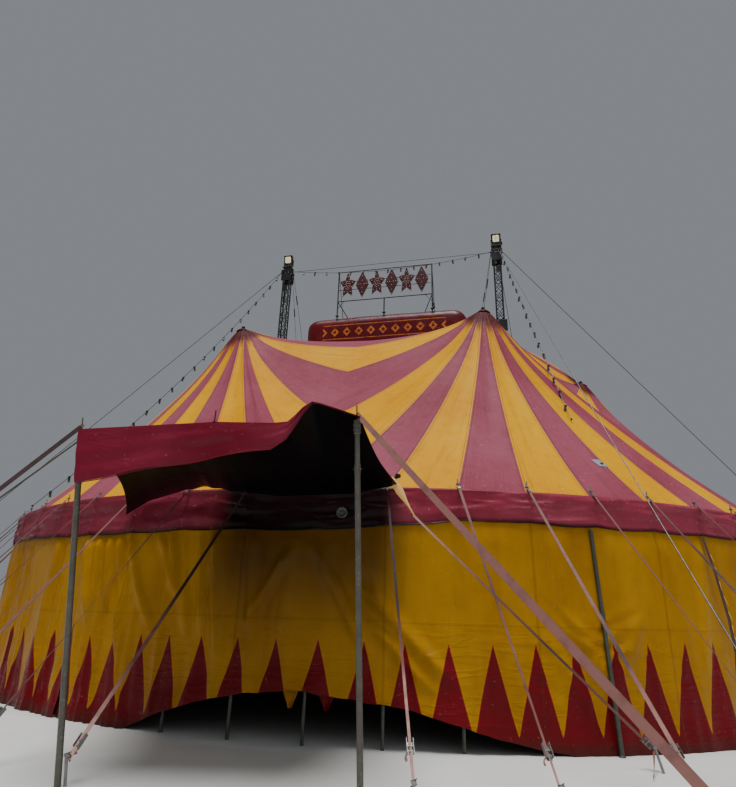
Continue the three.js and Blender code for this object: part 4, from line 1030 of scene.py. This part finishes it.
def ratchet(bm, at, heading, side):
    """A small ratchet buckle on a strap: two cheeks, a handle and an axle."""
    over, turn, half = heading.cross(side), set_along(side, heading), side * .036
    for sign in (-1, 1):
        block(bm, at + side * sign * .031, (.004, .13, .045), turn)
    block(bm, at + over * .02 + heading * .02, (.054, .12, .006), turn)
    rod(bm, at - half, at + half, .009, 10)
    rod(bm, at - half + heading * .05, at + half + heading * .05, .006, 8)


def make_guys(name, start):
    """Seven eave guys: pin with its ring of rope, strap with its ratchet and tail, and stake."""
    straps, steel, loops = new_form("along", "across", "shade"), bmesh.new(), []
    profile = [(0, 0), (.02, 0), (.02, .012), (.011, .016), (.011, .15), (.006, PIN_H), (0, PIN_H)]
    for k in range(7):
        seam = start + k + .5
        pin = seam_point(seam, PIN_OUT, EAVE_H)
        paint(steel, 0)
        turned(steel, pin, pin + up(PIN_H), profile, 10)
        paint(steel, 1)
        loops.append((LOOP_R, [pin + circle(.022, j * pi / 6) + up(.085 + .006 * sin(j * pi / 3))
                               for j in range(13)]))
        if seam == .5:  # the marquee stands in the way of this guy
            continue
        stake_at = seam + copysign(.3, sin(seam * 4 * pi / BAYS))
        high, low = pin + up(.10), seam_point(stake_at, GUY_REACH, .22)
        heading = (low - high).normalized()
        side = heading.cross(up(1)).normalized()
        place = seam - BAYS if seam > 46 else seam
        shades = tuple(zip(STRAP_PLACES, STRAP_SHADES.get(place, STRAP_SHADES[int(seam * 7) % 3])))
        width, twist = .032 if place == 1.5 else .042, .9 if k % 2 else -.7
        ribbon(straps, straight(high, low, 30, .012), width, side, twist, shades)
        at_front = .955 if place == -.5 else .915
        buckle = high.lerp(low, at_front if -3 < place < 6 else .8 + .02 * (k % 3))
        ratchet(steel, buckle, heading, side)
        block(steel, high + heading * .10, (.04, .04, .02), set_along(side, heading))
        tail = [buckle + side * .03 + Vector((.01 * sin(j * 1.3), 0, -.02 - .02 * j)) for j in range(6)]
        ribbon(straps, tail, .03, heading, .4, .8)
        stake(steel, seam_point(stake_at, GUY_REACH - .03, 0), seam_point(stake_at, GUY_REACH + .03, .28))
        paint(steel, 0)
        loops.append((LOOP_R, [low + circle(.024, j * pi / 5) + up(-.012 + .004 * j) for j in range(21)]))
    finish_piece(f"guy_straps_{name}", straps, STRAP, "webbing", f"eave_guys_{name}", .004)
    finish_piece(f"guy_steel_{name}", steel, (ZINC, BLACK), "dark_steel")
    finish_cords(f"guy_loops_{name}", loops, ROPE, "webbing")


def make_belt(name, first):
    """The webbing belt that runs on the roof's hem inside the pins."""
    bm = new_form("along", "across", "shade")
    path = [eave_point(first + k / 6, PIN_OUT, EAVE_H + .007 + .001 * sin(k)) for k in range(28 * 6 + 1)]
    ribbon(bm, path, .046, path[1].cross(up(1)), 0, .28)
    finish_piece(f"eave_belt_{name}", bm, STRAP, "webbing", thickness=.003)


# Cupola, cover and sign
COVER_X, COVER_Y, COVER_LOW, COVER_HIGH, COVER_ROUND = 2.5, .64, 9.1503, 10.3003, .36
SIGN_X, SIGN_Y, SIGN_LOW, SIGN_HIGH, SIGN_MIDDLE = 1.5, -.56, 10.8, 11.87, 11.335


def make_cover():
    """A long rounded hood of dark red canvas, with soft wrinkles and a rolled hem."""
    bm = bmesh.new()
    height = COVER_HIGH - COVER_LOW
    block(bm, (0, 0, COVER_LOW + height / 2), (2 * COVER_X, 2 * COVER_Y, height))
    bmesh.ops.delete(bm, geom=[face for face in bm.faces if face.normal.z < -.5], context="FACES")
    soft = [edge for edge in bm.edges if not edge.is_boundary]
    bmesh.ops.bevel(bm, geom=soft, offset=COVER_ROUND, segments=9, affect="EDGES", profile=.5, material=-1)
    cuts = ((36, -COVER_X, 2 * COVER_X), (5, -COVER_Y, 2 * COVER_Y), (7, COVER_LOW, height))
    for axis, (count, low, reach) in enumerate(cuts):
        normal = Matrix.Identity(3)[axis]
        for k in range(1, count):
            bmesh.ops.bisect_plane(bm, geom=bm.verts[:] + bm.edges[:] + bm.faces[:], dist=1e-4,
                                   plane_co=normal * (low + reach * k / count), plane_no=normal)
    bm.normal_update()
    for vert in bm.verts:
        x, y, z = vert.co
        level = (z - COVER_LOW) / height
        crease = .5 - abs(wander(x * 3.2, y * 3, z * 5)) * 2
        out = .012 * wander(x * 1.6, y * 2 + 3, z * 1.8) + .008 * crease - .006
        vert.co += vert.normal * out * ease(0, .08, level)
        x = vert.co.x
        vert.co.z -= .035 * ease(.6, 1, level) * (1 - bell(x, 1.9)) * ease(1.2, 2.4, abs(x))
    finish_sheet("cover_canvas", bm, lambda place: place - up(9.5), (7.0, 3.3), "stretched", ["cupola_deck"],
                 COVER, "red_canvas", "cupola_cover", .005, smooth=60)
    x, y, z = COVER_X - COVER_ROUND, COVER_Y - COVER_ROUND, COVER_LOW + .02
    rim = [Vector((cx * x, cy * y, z)) + circle(COVER_ROUND + .008, radians(start + k * 15))
           for cx, cy, start in ((1, 1, 0), (-1, 1, 90), (-1, -1, 180), (1, -1, 270)) for k in range(7)]
    finish_cords("cover_hem", [(.018, rim + rim[:1])], CAP, "red_canvas", sides=8)


def star(bm, centre, points, outer, inner, depth, tall):
    """A flat plate with pointed arms that faces the entrance."""
    known = set(bm.verts)
    for vert in bmesh.ops.create_circle(bm, cap_ends=True, segments=points * 2, radius=1)["verts"]:
        arm = round((atan2(vert.co.y, vert.co.x) - pi / 2) * points / pi)
        vert.co = circle(inner if arm % 2 else outer, arm * pi / points + pi / 2)
        vert.co.y *= tall
    plate = [face for face in bm.faces if all(vert not in known for vert in face.verts)]
    raised = bmesh.ops.extrude_face_region(bm, geom=plate)["geom"]
    lifted = [part for part in raised if isinstance(part, bmesh.types.BMVert)]
    bmesh.ops.translate(bm, verts=lifted, vec=(0, 0, depth))
    settle(bm, known, Matrix.Translation(Vector(centre)) @ Matrix.Rotation(pi / 2, 4, "X"))


def make_sign():
    """Open frame of tube with stars and diamonds of painted plate, studded with bulbs, and a lamp."""
    def on_sign(s, z):
        return Vector((s * SIGN_X, SIGN_Y, z))
    bm = bmesh.new()
    for z in (SIGN_LOW, SIGN_HIGH):
        rod(bm, on_sign(-1, z), on_sign(1, z), .015, 10)
    for s in (-1, 0, 1):
        rod(bm, on_sign(s, COVER_LOW + .002), on_sign(s, SIGN_HIGH + .015 if s else SIGN_LOW), .019, 10)
        turned(bm, on_sign(s, COVER_LOW), on_sign(s, COVER_HIGH),
               [(.02, 1.10), (.05, 1.125), (.055, 1.14), (.03, 1.165), (.02, 1.19)], 14)
        if s:
            rod(bm, (s * 1.2, -.2, COVER_HIGH), on_sign(s, SIGN_LOW), .013)
            rod(bm, (s * SIGN_X, .25, COVER_HIGH - .02), on_sign(s, SIGN_HIGH), .009)
            rod(bm, (s * 1.28, SIGN_Y, SIGN_LOW), on_sign(s, SIGN_LOW - .25), .008)
    for z in (SIGN_MIDDLE - .15, SIGN_MIDDLE + .15):
        rod(bm, (-SIGN_X, SIGN_Y - .035, z), (SIGN_X, SIGN_Y - .035, z), .011)
    finish_piece("sign_tubes", bm, MAST_STEEL, "dark_steel", "sign_frame")
    plates, bulbs = bmesh.new(), bmesh.new()
    for i in range(6):
        x = -SIGN_X + .08 + .47333 * (i + .5)
        points, outer, inner, tall = (2, .48, .215, 1.0) if i % 2 else (5, .275, .14, 1.8)
        star(plates, (x, SIGN_Y - .033, SIGN_MIDDLE), points, outer, inner, .028, tall)
        star(plates, (x, SIGN_Y - .061, SIGN_MIDDLE), points, outer * .72, inner * .72, .008, tall)
        for k in range(points * 2):
            for share in (.28, .62, .92):
                spot = circle((inner if k % 2 else outer) * share, pi / 2 + k * pi / points)
                ball(bulbs, (x + spot.x, SIGN_Y - .072, SIGN_MIDDLE + spot.y * tall), .014, cells=6)
    finish_piece("sign_plates", plates, SIGN_PAINT, "sign_paint", "sign_motifs", bevel=.004)
    finish_piece("sign_bulbs", bulbs, BULB, "lamp_glass")
    bm = bmesh.new()
    lamp = Vector((1.535, SIGN_Y + .01, 10.42))
    block(bm, lamp, (.07, .07, .1))
    rod(bm, lamp + up(.05), (1.52, SIGN_Y, 10.66), .006, 6)
    turned(bm, lamp - up(.045), lamp - up(.12), [(.02, 0), (.045, .02), (.05, .05), (0, .05)], 12)
    finish_piece("sign_lamp", bm, BLACK, "lamp_housing", bevel=.004)


def make_deck():
    """Canvas over the cupola's ladder, laced at its rim, and the ladder's tubes."""
    bm = new_form("gore", "width", "down")
    cells = 44

    def place(column, row):
        x = -RING.x + .0003 + (2 * RING.x - .0006) * column / cells
        y = (between(RIM_HALF, abs(x)) - .0003) * (row / 5 - 1)
        dip = .0072 * sin(pi * row / 10) * abs(sin(x * 3))
        return Vector((x, y, RING.z - dip)), {"gore": 1.5, "width": 1.0, "down": 3.0}

    def in_opening(face):
        x, y, _ = [abs(part) for part in face.calc_center_median()]
        return (abs(x - MAST_X) < .2 and y < .17) or (x < 2.2 and y < .42)
    grid(bm, cells, 10, place)
    bmesh.ops.delete(bm, geom=[face for face in bm.faces if in_opening(face)], context="FACES")
    finish_sheet("deck_canvas", bm, upwards, (7.7, 1.52), "stretched", ["cupola_frame"],
                 ROOF, "roof_canvas", "cupola_deck", .004, area=7.5)
    bm = bmesh.new()
    z = RING.z - .0375
    rim = [(-x, y) for x, y in RIM_HALF[::-1]] + list(RIM_HALF[1:])
    for s in (-1, 1):
        bends = [(x, s * (y - .03), z) for x, y in rim]
        for low, high in zip(bends, bends[1:]):
            rod(bm, low, high, .024, 10)
    rungs = [RING.x - .026, MAST_X + .19, MAST_X - .19, 2.8, SIGN_X]
    for x in [0] + rungs + [-rung for rung in rungs]:
        reach = between(RIM_HALF, abs(x)) - .03
        rod(bm, (x, -reach, z), (x, reach, z), .022, 10)
    finish_piece("cupola_tubes", bm, POLE_STEEL, "pole_steel", "cupola_frame")


# Masts, floodlights and cables
ANCHORS = {"left": ((-12.7, -4.5), (-7.4, 9.6)), "right": ((12.69, 0), (5.54, -10), (5.54, 10))}


def make_mast(name, s):
    """A square lattice of tube with crossed lacing, bolted plates and two wheels at its head, and boxes."""
    x = s * MAST_X
    bm = bmesh.new()
    corners = [Vector((x + dx * .105, dy * .105, 0)) for dx, dy in ((-1, -1), (1, -1), (1, 1), (-1, 1))]
    for corner in corners:
        rod(bm, corner + up(.01), corner + up(MAST_H), .022, 10)
        for z in (3.15, 6.3, 9.45):
            rod(bm, corner + up(z - .02), corner + up(z + .02), .032, 10)
    cells = 40
    for k in range(cells):
        low, high = up(MAST_H * k / cells), up(MAST_H * (k + 1) / cells)
        for a, b in zip(corners, corners[1:] + corners[:1]):
            rod(bm, a + low, b + high, .009, 6)
            rod(bm, b + low, a + high, .009, 6)
            if k % 2 == 0:
                rod(bm, a + low + up(.02), b + low + up(.02), .010, 6)
    for z in (.0075, MAST_H + .0075):
        block(bm, (x, 0, z), (.32, .32, .015))
    turned(bm, (x, 0, MAST_H + .01), (x, 0, MAST_H + .08),
           [(0, 0), (.06, 0), (.06, .01), (.028, .014), (.028, .07), (0, .07)], 14)
    for dy in (-1, 1):
        block(bm, (x, dy * .164, 12.21), (.33, .008, .30))
        for dx in (-.13, 0, .13):
            for z in (12.33, 12.09):
                rod(bm, (x + dx, dy * .16, z), (x + dx, dy * .178, z), .012, 6)
    wheel = [(0, 0), (.085, 0), (.085, .008), (.068, .016), (.068, .028), (.085, .036), (.085, .044),
             (0, .044)]
    for z in (12.12, 12.30):
        turned(bm, (x, -.022, z), (x, .022, z), wheel)
        rod(bm, (x, -.166, z), (x, .166, z), .014)
    finish_piece(f"lattice_{name}", bm, MAST_STEEL, "dark_steel", f"mast_{name}")
    bm = bmesh.new()
    block(bm, (x + .02, -.19, 11.72), (.13, .05, .22))
    if s > 0:
        block(bm, (x + .06, -.165, 9.75), (.26, .08, .36))
    block(bm, (x - .05, -.18, 11.95), (.08, .05, .09))
    for k in range(3):
        rod(bm, (x - .06 + .06 * k, -.21, 11.62), (x - .05 + .05 * k, -.2, 11.40 - .1 * k), .008, 6)
    finish_piece(f"mast_boxes_{name}", bm, BLACK, "lamp_housing", bevel=.008)


def make_floodlight(name, s):
    """A finned housing with a rounded lens on a yoke, turned down towards the front."""
    x, z = s * MAST_X, MAST_H + .0803
    tilt = Matrix.Rotation(radians(14), 4, "X")
    centre = Matrix.Translation((x, 0, z + .23)) @ tilt

    def plate(px, py, pz, size):
        block(bm, centre @ Vector((px, py, pz)), size, tilt)
    bm = bmesh.new()
    plate(0, .01, 0, (.27, .11, .31))
    plate(0, -.06, 0, (.30, .035, .34))
    for k in range(9):
        plate(-.112 + .028 * k, .075, 0, (.006, .03, .26))
    for pz in (-.162, .162):
        plate(0, -.10, pz, (.30, .06, .006))
    block(bm, (x, 0, z + .006), (.336, .05, .01))
    for side in (-1, 1):
        block(bm, (x + side * .163, 0, z + .125), (.01, .05, .25))
        rod(bm, (x + side * .14, 0, z + .23), (x + side * .176, 0, z + .23), .022, 12)
    if s > 0:
        plate(0, -.083, 0, (.008, .012, .29))
        plate(.17, -.02, -.13, (.05, .07, .08))
    finish_piece(f"floodlight_housing_{name}", bm, BLACK, "lamp_housing", f"floodlight_{name}", bevel=.006)
    bm = bmesh.new()
    plate(0, -.078, .02, (.20, .012, .22))
    bmesh.ops.bevel(bm, geom=bm.edges, offset=.035, segments=3, affect="EDGES", profile=.5, material=-1)
    for k in range(3):
        plate(0, -.084, -.04 + .06 * k, (.18, .006, .05))
    finish_piece(f"floodlight_lens_{name}", bm, LENS, "lamp_lens", bevel=.002)


def make_mast_guys(name, s):
    """A clamped collar, its wire guys with thimbles and tensioners, and two hoist wires."""
    x = s * MAST_X
    wires, steel = [], bmesh.new()
    for side in (-1, 1):
        block(steel, (x, side * .168, COLLAR_Z), (.348, .012, .09))
        block(steel, (x + side * .168, 0, COLLAR_Z), (.012, .348, .09))
        for bolt in (x - .13, x + .13):
            rod(steel, (bolt, side * .172, COLLAR_Z), (bolt, side * .186, COLLAR_Z), .011, 6)
    for ax, ay in ANCHORS[name]:
        anchor, away = Vector((ax, ay, 0)), Vector((ax - x, ay, 0)).normalized()
        start = Vector((x, 0, COLLAR_Z)) + away * (.1873 / max(abs(away.x), abs(away.y)))
        low = anchor - away * .02 + up(.23)
        heading = (low - start).normalized()
        wires.append((.008, straight(start, low, 24, .02)))
        block(steel, start, (.03, .03, .032))
        screw = low - heading * .55
        rod(steel, screw, screw + heading * .3, .016)
        for end in (screw, screw + heading * .3):
            rod(steel, end - heading * .02, end + heading * .02, .022)
        for k in range(3):
            block(steel, start + heading * (.12 + .06 * k), (.022, .022, .018))
        stake(steel, anchor - away * .08, anchor + up(.34))
    for side in (-1, 1):
        top = Vector((x - s * .183, side * .06, COLLAR_Z - .03))
        pad = Vector((s * 2.8, side * .42, RING.z + .002))
        wires.append((.006, straight(top, pad + up(.012), 8)))
        block(steel, top, (.024, .024, .024))
        block(steel, pad + up(.004), (.06, .06, .008))
        heading = (pad - top).normalized()
        middle = top.lerp(pad, .52 if side < 0 else .3)
        rod(steel, middle - heading * .16, middle + heading * .16, .019)
    finish_cords(f"guy_wires_{name}", wires, WIRE, "wire_rope", f"mast_guys_{name}")
    finish_piece(f"collar_{name}", steel, BLACK, "dark_steel", bevel=.002)


def make_festoon(name, start, end, sag):
    """A string of small dark lamp holders, each with a bulb, under a cable."""
    start, end, pitch = Vector(start), Vector(end), .42 if name == "top" else .5
    low = (start + end) / 2 - up(2 * sag)
    path = [start * (1 - t) ** 2 + low * 2 * t * (1 - t) + end * t * t for t in [i / 44 for i in range(45)]]
    finish_cords(f"string_{name}", [(.006, path)], BLACK, "cable", f"festoon_{name}")
    holders, bulbs = bmesh.new(), bmesh.new()
    covered, due = 0.0, pitch
    for a, b in zip(path, path[1:]):
        length = (b - a).length
        while due <= covered + length:
            at = a.lerp(b, (due - covered) / length)
            swing = Vector((.014 * sin(due * 5), .014 * cos(due * 7), 0))
            foot = at - up(.058) + swing
            rod(holders, at + up(.012), foot, .02, 8, .026)
            block(holders, at, (.05, .03, .03))
            ball(bulbs, foot - up(.028) + swing * .4, .03, (1, 1, 1.2))
            due += pitch
        covered += length
    for end_at in (start, end):
        block(holders, end_at, (.03, .03, .03))
    finish_piece(f"lamp_holders_{name}", holders, BLACK, "cable")
    finish_piece(f"lamp_bulbs_{name}", bulbs, DARK_BULB, "lamp_glass")


# Marquee: head and foot of each pole and the foot of its strap's stake
MARQUEE = {
    "left": (Vector((-1.4, -10.6, 3.43)), Vector((-.965, -10.45, 0)), Vector((-3.76, -12.0, 0))),
    "right": (Vector((1.668, -10.2, 3.571)), Vector((1.803, -10.095, 0)), Vector((4.53, -13.2, 0))),
}
MARQUEE_STRAPS = {
    "left": (.047, ((0, .08), (.6, .2), (1, .4))),
    "right": (.057, ((0, .58), (.5, .45), (1, .66))),
}
MARQUEE_BAYS = (-2.64, 1.66)
# Height of the canopy's rear edge by bay, then lift of its front edge and depth of its band, across
CANOPY_REAR = ((-2.64, 2.965), (-2.2, 3.17), (-1.5, 3.31), (-1.15, 3.345), (-.8, 3.27), (0, 3.17),
               (1, 3.2), (1.66, 3.33))
CANOPY_LIFT = ((0, -.015), (.5, 0), (.7, -.04), (.75, -.03), (.775, .04), (.80, .13), (.832, .185),
               (.86, .16), (1, -.01))
CANOPY_DROP = ((0, .6), (.2, .526), (.4, .445), (.6, .345), (.7, .294), (.75, .19), (.8, .09),
               (.835, .012), (1, .012))


def canopy_top(u, v):
    """A point of the canopy: u across the entrance, v from the eave to the front edge."""
    bay = MARQUEE_BAYS[0] + (MARQUEE_BAYS[1] - MARQUEE_BAYS[0]) * u
    rear = eave_point(bay, .085, between(CANOPY_REAR, bay) + .012 * sin(bay * 19) * bell(bay + 1.1, .5))
    left = MARQUEE["left"][0] + Vector((.005, -.062, 0))
    right = MARQUEE["right"][0] + Vector((.05, -.062, 0))
    point = rear.lerp(left.lerp(right, u), v)
    slack = sin(pi * v)
    point.z += between(CANOPY_LIFT, u) * v ** 1.5 - .10 * slack * (.4 + sin(pi * u))
    point.x += (.22 * (1 - u) ** 3 - .04 * u ** 3) * slack
    point.z += .02 * wander(u * 4, v * 3, 2) * slack
    return point


def band_drop(u):
    """How far the band hangs below the canopy's front edge."""
    return between(CANOPY_DROP, u) + .012 * sin(u * 18) * ease(.9, .7, u)


def make_canopy():
    """One sheet of canvas blown up near its right corner, with a red band; the lining under it and the band's
    back are painted near black, as shade.
    """
    bm = bmesh.new()
    grid(bm, 72, 26, lambda column, row: (canopy_top(column / 72, row / 26), {}))
    poles = ["marquee_pole_left", "marquee_pole_right"]
    finish_sheet("canopy_canvas", bm, upwards, (4.4, 3.4), "hung", poles,
                 (BAND, NEAR_BLACK_SHADE), "red_canvas", "marquee_canopy", .006, inner=1)
    bm = bmesh.new()

    def place(column, row):
        u, share = column / 84, row / 12
        point = canopy_top(u, 1)
        ripple = .05 * wander(u * 3.2, share * 3, 5) + .012 * sin(u * 21 + share * 2) * share
        point.y -= .004 + (.010 + ripple) * ease(0, .3, share)
        point.x += .11 * share * (1 - u) ** 4
        point.z += .004 - band_drop(u) * share
        return point, {}
    grid(bm, 84, 12, place)
    finish_sheet("canopy_band", bm, forwards, (3.6, .5), "hung", ["canopy_canvas"],
                 (BAND, NEAR_BLACK_SHADE), "red_canvas", thickness=.004, inner=1)
    hem = [canopy_top(u, 1) + Vector((.11 * (1 - u) ** 4, -.016, -band_drop(u)))
           for u in [k / 60 for k in range(52)]]
    finish_cords("canopy_hems", [(.005, hem)], BAND, "red_canvas")


def make_marquee_pole(name):
    """A two-part steel pole with a swaged joint, a pin through the canopy and a wrapped tie."""
    top, foot = MARQUEE[name][:2]
    heading = (top - foot).normalized()
    length = (top - foot).length
    bm = bmesh.new()
    from_top = [(.031, .62), (.034, .61), (.034, .52), (.028, .5), (.028, .19), (.037, .18),
                (.037, .035), (.008, .028), (.008, -.13), (.005, -.142), (0, -.142)]
    profile = [(0, 0), (.031, 0)] + [(radius, length - down) for radius, down in from_top]
    turned(bm, foot + heading * .004, top, profile)
    joint, half = foot + heading * (length - .56), Vector((.05, 0, 0))
    rod(bm, joint - half, joint + half, .005, 6)
    finish_piece(f"marquee_post_{name}", bm, POLE_STEEL, "pole_steel", f"marquee_pole_{name}")
    coil = [foot + heading * (length - .16 + .004 * k) + circle(.041, k * .5) for k in range(26)]
    finish_cords(f"marquee_tie_{name}", [(.006, coil)], ROPE, "webbing")


def make_marquee_strap(name):
    """A wide pale strap from the pole's pin down to its stake, with a ratchet near the ground."""
    top, foot, anchor = MARQUEE[name]
    pin = foot.lerp(top, 1 + .035 / top.z)
    away = (anchor - pin).xy.to_3d().normalized()
    low = anchor - away * .02 + up(.23)
    start = pin + away * .014
    heading = (low - start).normalized()
    side = strap_side(heading)
    bm = new_form("along", "across", "shade")
    width, shades = MARQUEE_STRAPS[name]
    ribbon(bm, straight(start, low, 50, .01), width, side, .1, shades)
    turns = [circle(.013, k * pi / 6) for k in range(13)]
    loop = [pin + away * turn.x + side * turn.y + up(.002 * k) for k, turn in enumerate(turns)]
    ribbon(bm, loop, .03, up(1), 0, .4)
    finish_piece(f"marquee_webbing_{name}", bm, STRAP, "webbing", f"marquee_strap_{name}", .004)
    steel = bmesh.new()
    ratchet(steel, start.lerp(low, .86), heading, side)
    stake(steel, anchor - away * .08, anchor + up(.28))
    finish_piece(f"marquee_steel_{name}", steel, ZINC, "dark_steel", bevel=.001)


def make_corner_strip():
    """A cream strip sewn to the canopy's rear corner, the thin strap it is pulled by and its stake."""
    top, tip = eave_point(1.57, .13, 3.43), eave_point(1.89, .17, 2.87)
    side = strap_side((tip - top).normalized())
    bm = bmesh.new()

    def place(column, row):
        across, share = column / 2 - 1, row / 12
        width = .016 + .10 * bell(share - .3, .32) * ease(0, .15, share + .08)
        bulge = Vector((0, -.012 * (1 - across * across), 0))
        return top.lerp(tip, share) + side * across * width / 2 + bulge, {}
    grid(bm, 4, 12, place)
    finish_sheet("corner_strip", bm, forwards, (.64, .12), "stretched", ["canopy_canvas"],
                 CREAM, "cream", thickness=.003)
    peg = Vector((4.80, -7.74, 0))
    low = peg + Vector((-.06, .08, .22))
    heading = (low - tip).normalized()
    side = strap_side(heading)
    bm = new_form("along", "across", "shade")
    shades = ((0, .9), (.35, .62), (.6, .2), (1, .5))
    ribbon(bm, straight(tip - heading * .03, low, 40, .01), .032, side, .2, shades)
    ribbon(bm, straight(low, peg + Vector((-.2, -.42, .03)), 10, .05), .032, side, 1.2, .6)
    finish_piece("corner_strap", bm, STRAP, "webbing", thickness=.003)
    steel = bmesh.new()
    ratchet(steel, low - heading * .09, heading, side)
    paint(steel, 0)
    stake(steel, peg, peg + Vector((-.05, .07, .25)))
    knot = eave_point(1.65, .12, 3.45)
    for k in range(5):
        bend = Vector((.022 * sin(k * 2.1), -.01 * k % .03, .02 * cos(k * 1.7)))
        ball(steel, knot + bend, .03, (1, .8, .8))
    paint(steel, 1)
    finish_piece("corner_fittings", steel, (ZINC, BLACK), "dark_steel")


def make_marquee_trim():
    """The middle pin of the canopy, a second rope at its left pole and a round lamp on the valance."""
    start = MARQUEE["left"][0].lerp(MARQUEE["left"][1], .041) + Vector((-.03, -.02, 0))
    finish_cords("second_rope", [(.009, straight(start, (-4.05, -11.9, .2), 24, .02))], ROPE, "webbing")
    bm = bmesh.new()
    stake(bm, (-4.1, -11.94, 0), (-4.04, -11.89, .27))
    middle = canopy_top(.49, 1) + Vector((0, .01, 0))
    rod(bm, middle - up(.04), middle + up(.14), .007)
    rod(bm, middle + up(.002), middle + up(.012), .02, 10)
    finish_piece("canopy_pin", bm, BLACK, "dark_steel")
    bm = bmesh.new()
    out = Vector((.09, -1, 0)).normalized()
    at = eave_point(.9, .075, 2.93)
    turned(bm, at - out * .03, at,
           [(0, 0), (.065, 0), (.08, .02), (.082, .045), (.07, .055), (.062, .05), (0, .044)], 28)
    turned(bm, at + out * .018, at + out, [(0, 0), (.03, 0), (.026, .016), (0, .018)], 16)
    finish_piece("valance_lamp", bm, PROP_STEEL, "lamp_housing", bevel=.003)


def make_repair_patch():
    """A grey-blue patch glued over a tear in the front right fan, with a dark stopper in it."""
    peak = FANS[0][1]

    def on_fan(bay, s, rise):
        end = eave_point(bay, -LIP, EAVE_H)
        point = peak.lerp(end, s)
        point.z = fall_from_peak(peak, end, s, .25) + rise
        return point

    def place(column, row):
        bay, s = 5.38 + .10 * (column / 4 - 1) + .03 * (row / 4 - 1), .81 + .017 * (row / 4 - 1)
        return on_fan(bay, s, .012 - gore_sag(bay + .5, s)), {}
    bm = bmesh.new()
    grid(bm, 8, 8, place)
    finish_sheet("repair_patch", bm, upwards, (.19, .19), "laid", ["canvas_front_right"],
                 PATCH, "patch", thickness=.002)
    bm = bmesh.new()
    ball(bm, on_fan(5.42, .812, .01), .03, (1, 1, .6), 10)
    finish_piece("patch_stopper", bm, BLACK, "dark_steel")


def make_side_rope():
    """A dark strap with pale frayed threads, tied down outside the wall on the right."""
    places = ((6.45, .05, 2.86), (6.5, .12, 2.3), (6.57, .16, 1.66), (6.56, .18, 1.2), (6.52, .2, .73),
              (6.5, .24, .3), (6.5, .26, .06))
    path = [eave_point(*place) for place in places]
    smooth = [a.lerp(b, k / 6) for a, b in zip(path, path[1:]) for k in range(6)]
    bm = new_form("along", "across", "shade")
    ribbon(bm, smooth + [path[-1]], .05, seam_point(7, 0, 0) - seam_point(6, 0, 0), .5, .16)
    finish_piece("side_strap", bm, STRAP, "webbing", thickness=.004)
    bm = bmesh.new()
    for k, (a, b) in enumerate(zip(smooth[3::2], smooth[4::2])):
        end = b + Vector((.035 + .02 * sin(k * 2.3), -.02, -.02))
        rod(bm, a + Vector((.02, -.01, 0)), end, .006, 6, .002)
    finish_piece("side_fray", bm, CREAM, "cream")


def make_prop():
    """The steel prop that leans on the wall outside."""
    head, base = eave_point(4.4, .0226, 2.829), eave_point(4.45, .1, 0)
    span = (head - base).length
    bm = bmesh.new()
    turned(bm, base, head, [
        (0, 0), (.045, 0), (.045, .01), (.03, .02), (.029, span * .55), (.033, span * .555), (.033, span * .6),
        (.027, span * .61), (.027, span - .03), (.03, span - .02), (0, span - .001)], 18)
    finish_piece("prop_tube", bm, PROP_STEEL, "pole_steel", "wall_prop")


# The whole tent
place_camera()
place_floor_and_lights()
for index, fan in enumerate(FANS):
    make_fan(index)
make_crown("front", -1, (4, 5, 0, 1))
make_crown("rear", 1, (4, 3, 2, 1))
for fan_name, fan_peak, *_ in FANS:
    make_quarter_pole(fan_name, fan_peak)
wall_sheet("curtain_canvas", "entrance_curtain", -3.5, 30, 84, HEM)
for index, part in enumerate(("front_right", "right", "rear_right", "rear_left", "left", "front_left")):
    wall_cells, wall_rows = (24, 60) if "front" in part else (14, 40)
    wall_sheet(f"wall_canvas_{part}", f"wall_{part}", 4.5 + index * 8, wall_cells, wall_rows)
make_flaps()
make_valance("front", -14.5)
make_valance("rear", 13.5)
for index, group_name in enumerate(GUY_GROUPS):
    make_guys(group_name, index * 7)
make_belt("front", -14)
make_belt("rear", 14)
make_cover()
make_sign()
make_deck()
for mast_name, mast_side in (("left", -1), ("right", 1)):
    make_mast(mast_name, mast_side)
    make_floodlight(mast_name, mast_side)
    make_mast_guys(mast_name, mast_side)
head_wire = straight((-3.3354, 0, 12.455), (3.3354, 0, 12.455), 24)
finish_cords("head_wire", [(.007, head_wire)], WIRE, "wire_rope", "top_wire")
make_festoon("top", (-3.3204, -.1, 12.41), (3.3204, -.1, 12.41), .30)
make_festoon("left", (-3.61, -.1896, 12.41), seam_point(-6.5, PIN_OUT, 3.4453), .45)
plate_low, plate_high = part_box("festoon_right")
make_festoon("right", (3.61, -.1896, 12.41), (plate_high.x - MIDDLE.x - .03, plate_low.y - MIDDLE.y + .03,
                                              plate_low.z + .02), .06)
make_canopy()
make_corner_strip()
make_marquee_trim()
make_repair_patch()
make_side_rope()
for pole_name in MARQUEE:
    make_marquee_pole(pole_name)
    make_marquee_strap(pole_name)
make_prop()
for quarter in QUARTERS:
    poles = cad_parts[f"side_poles_{quarter}"]
    poles.data.materials.clear()
    poles.data.materials.append(PROP_STEEL)
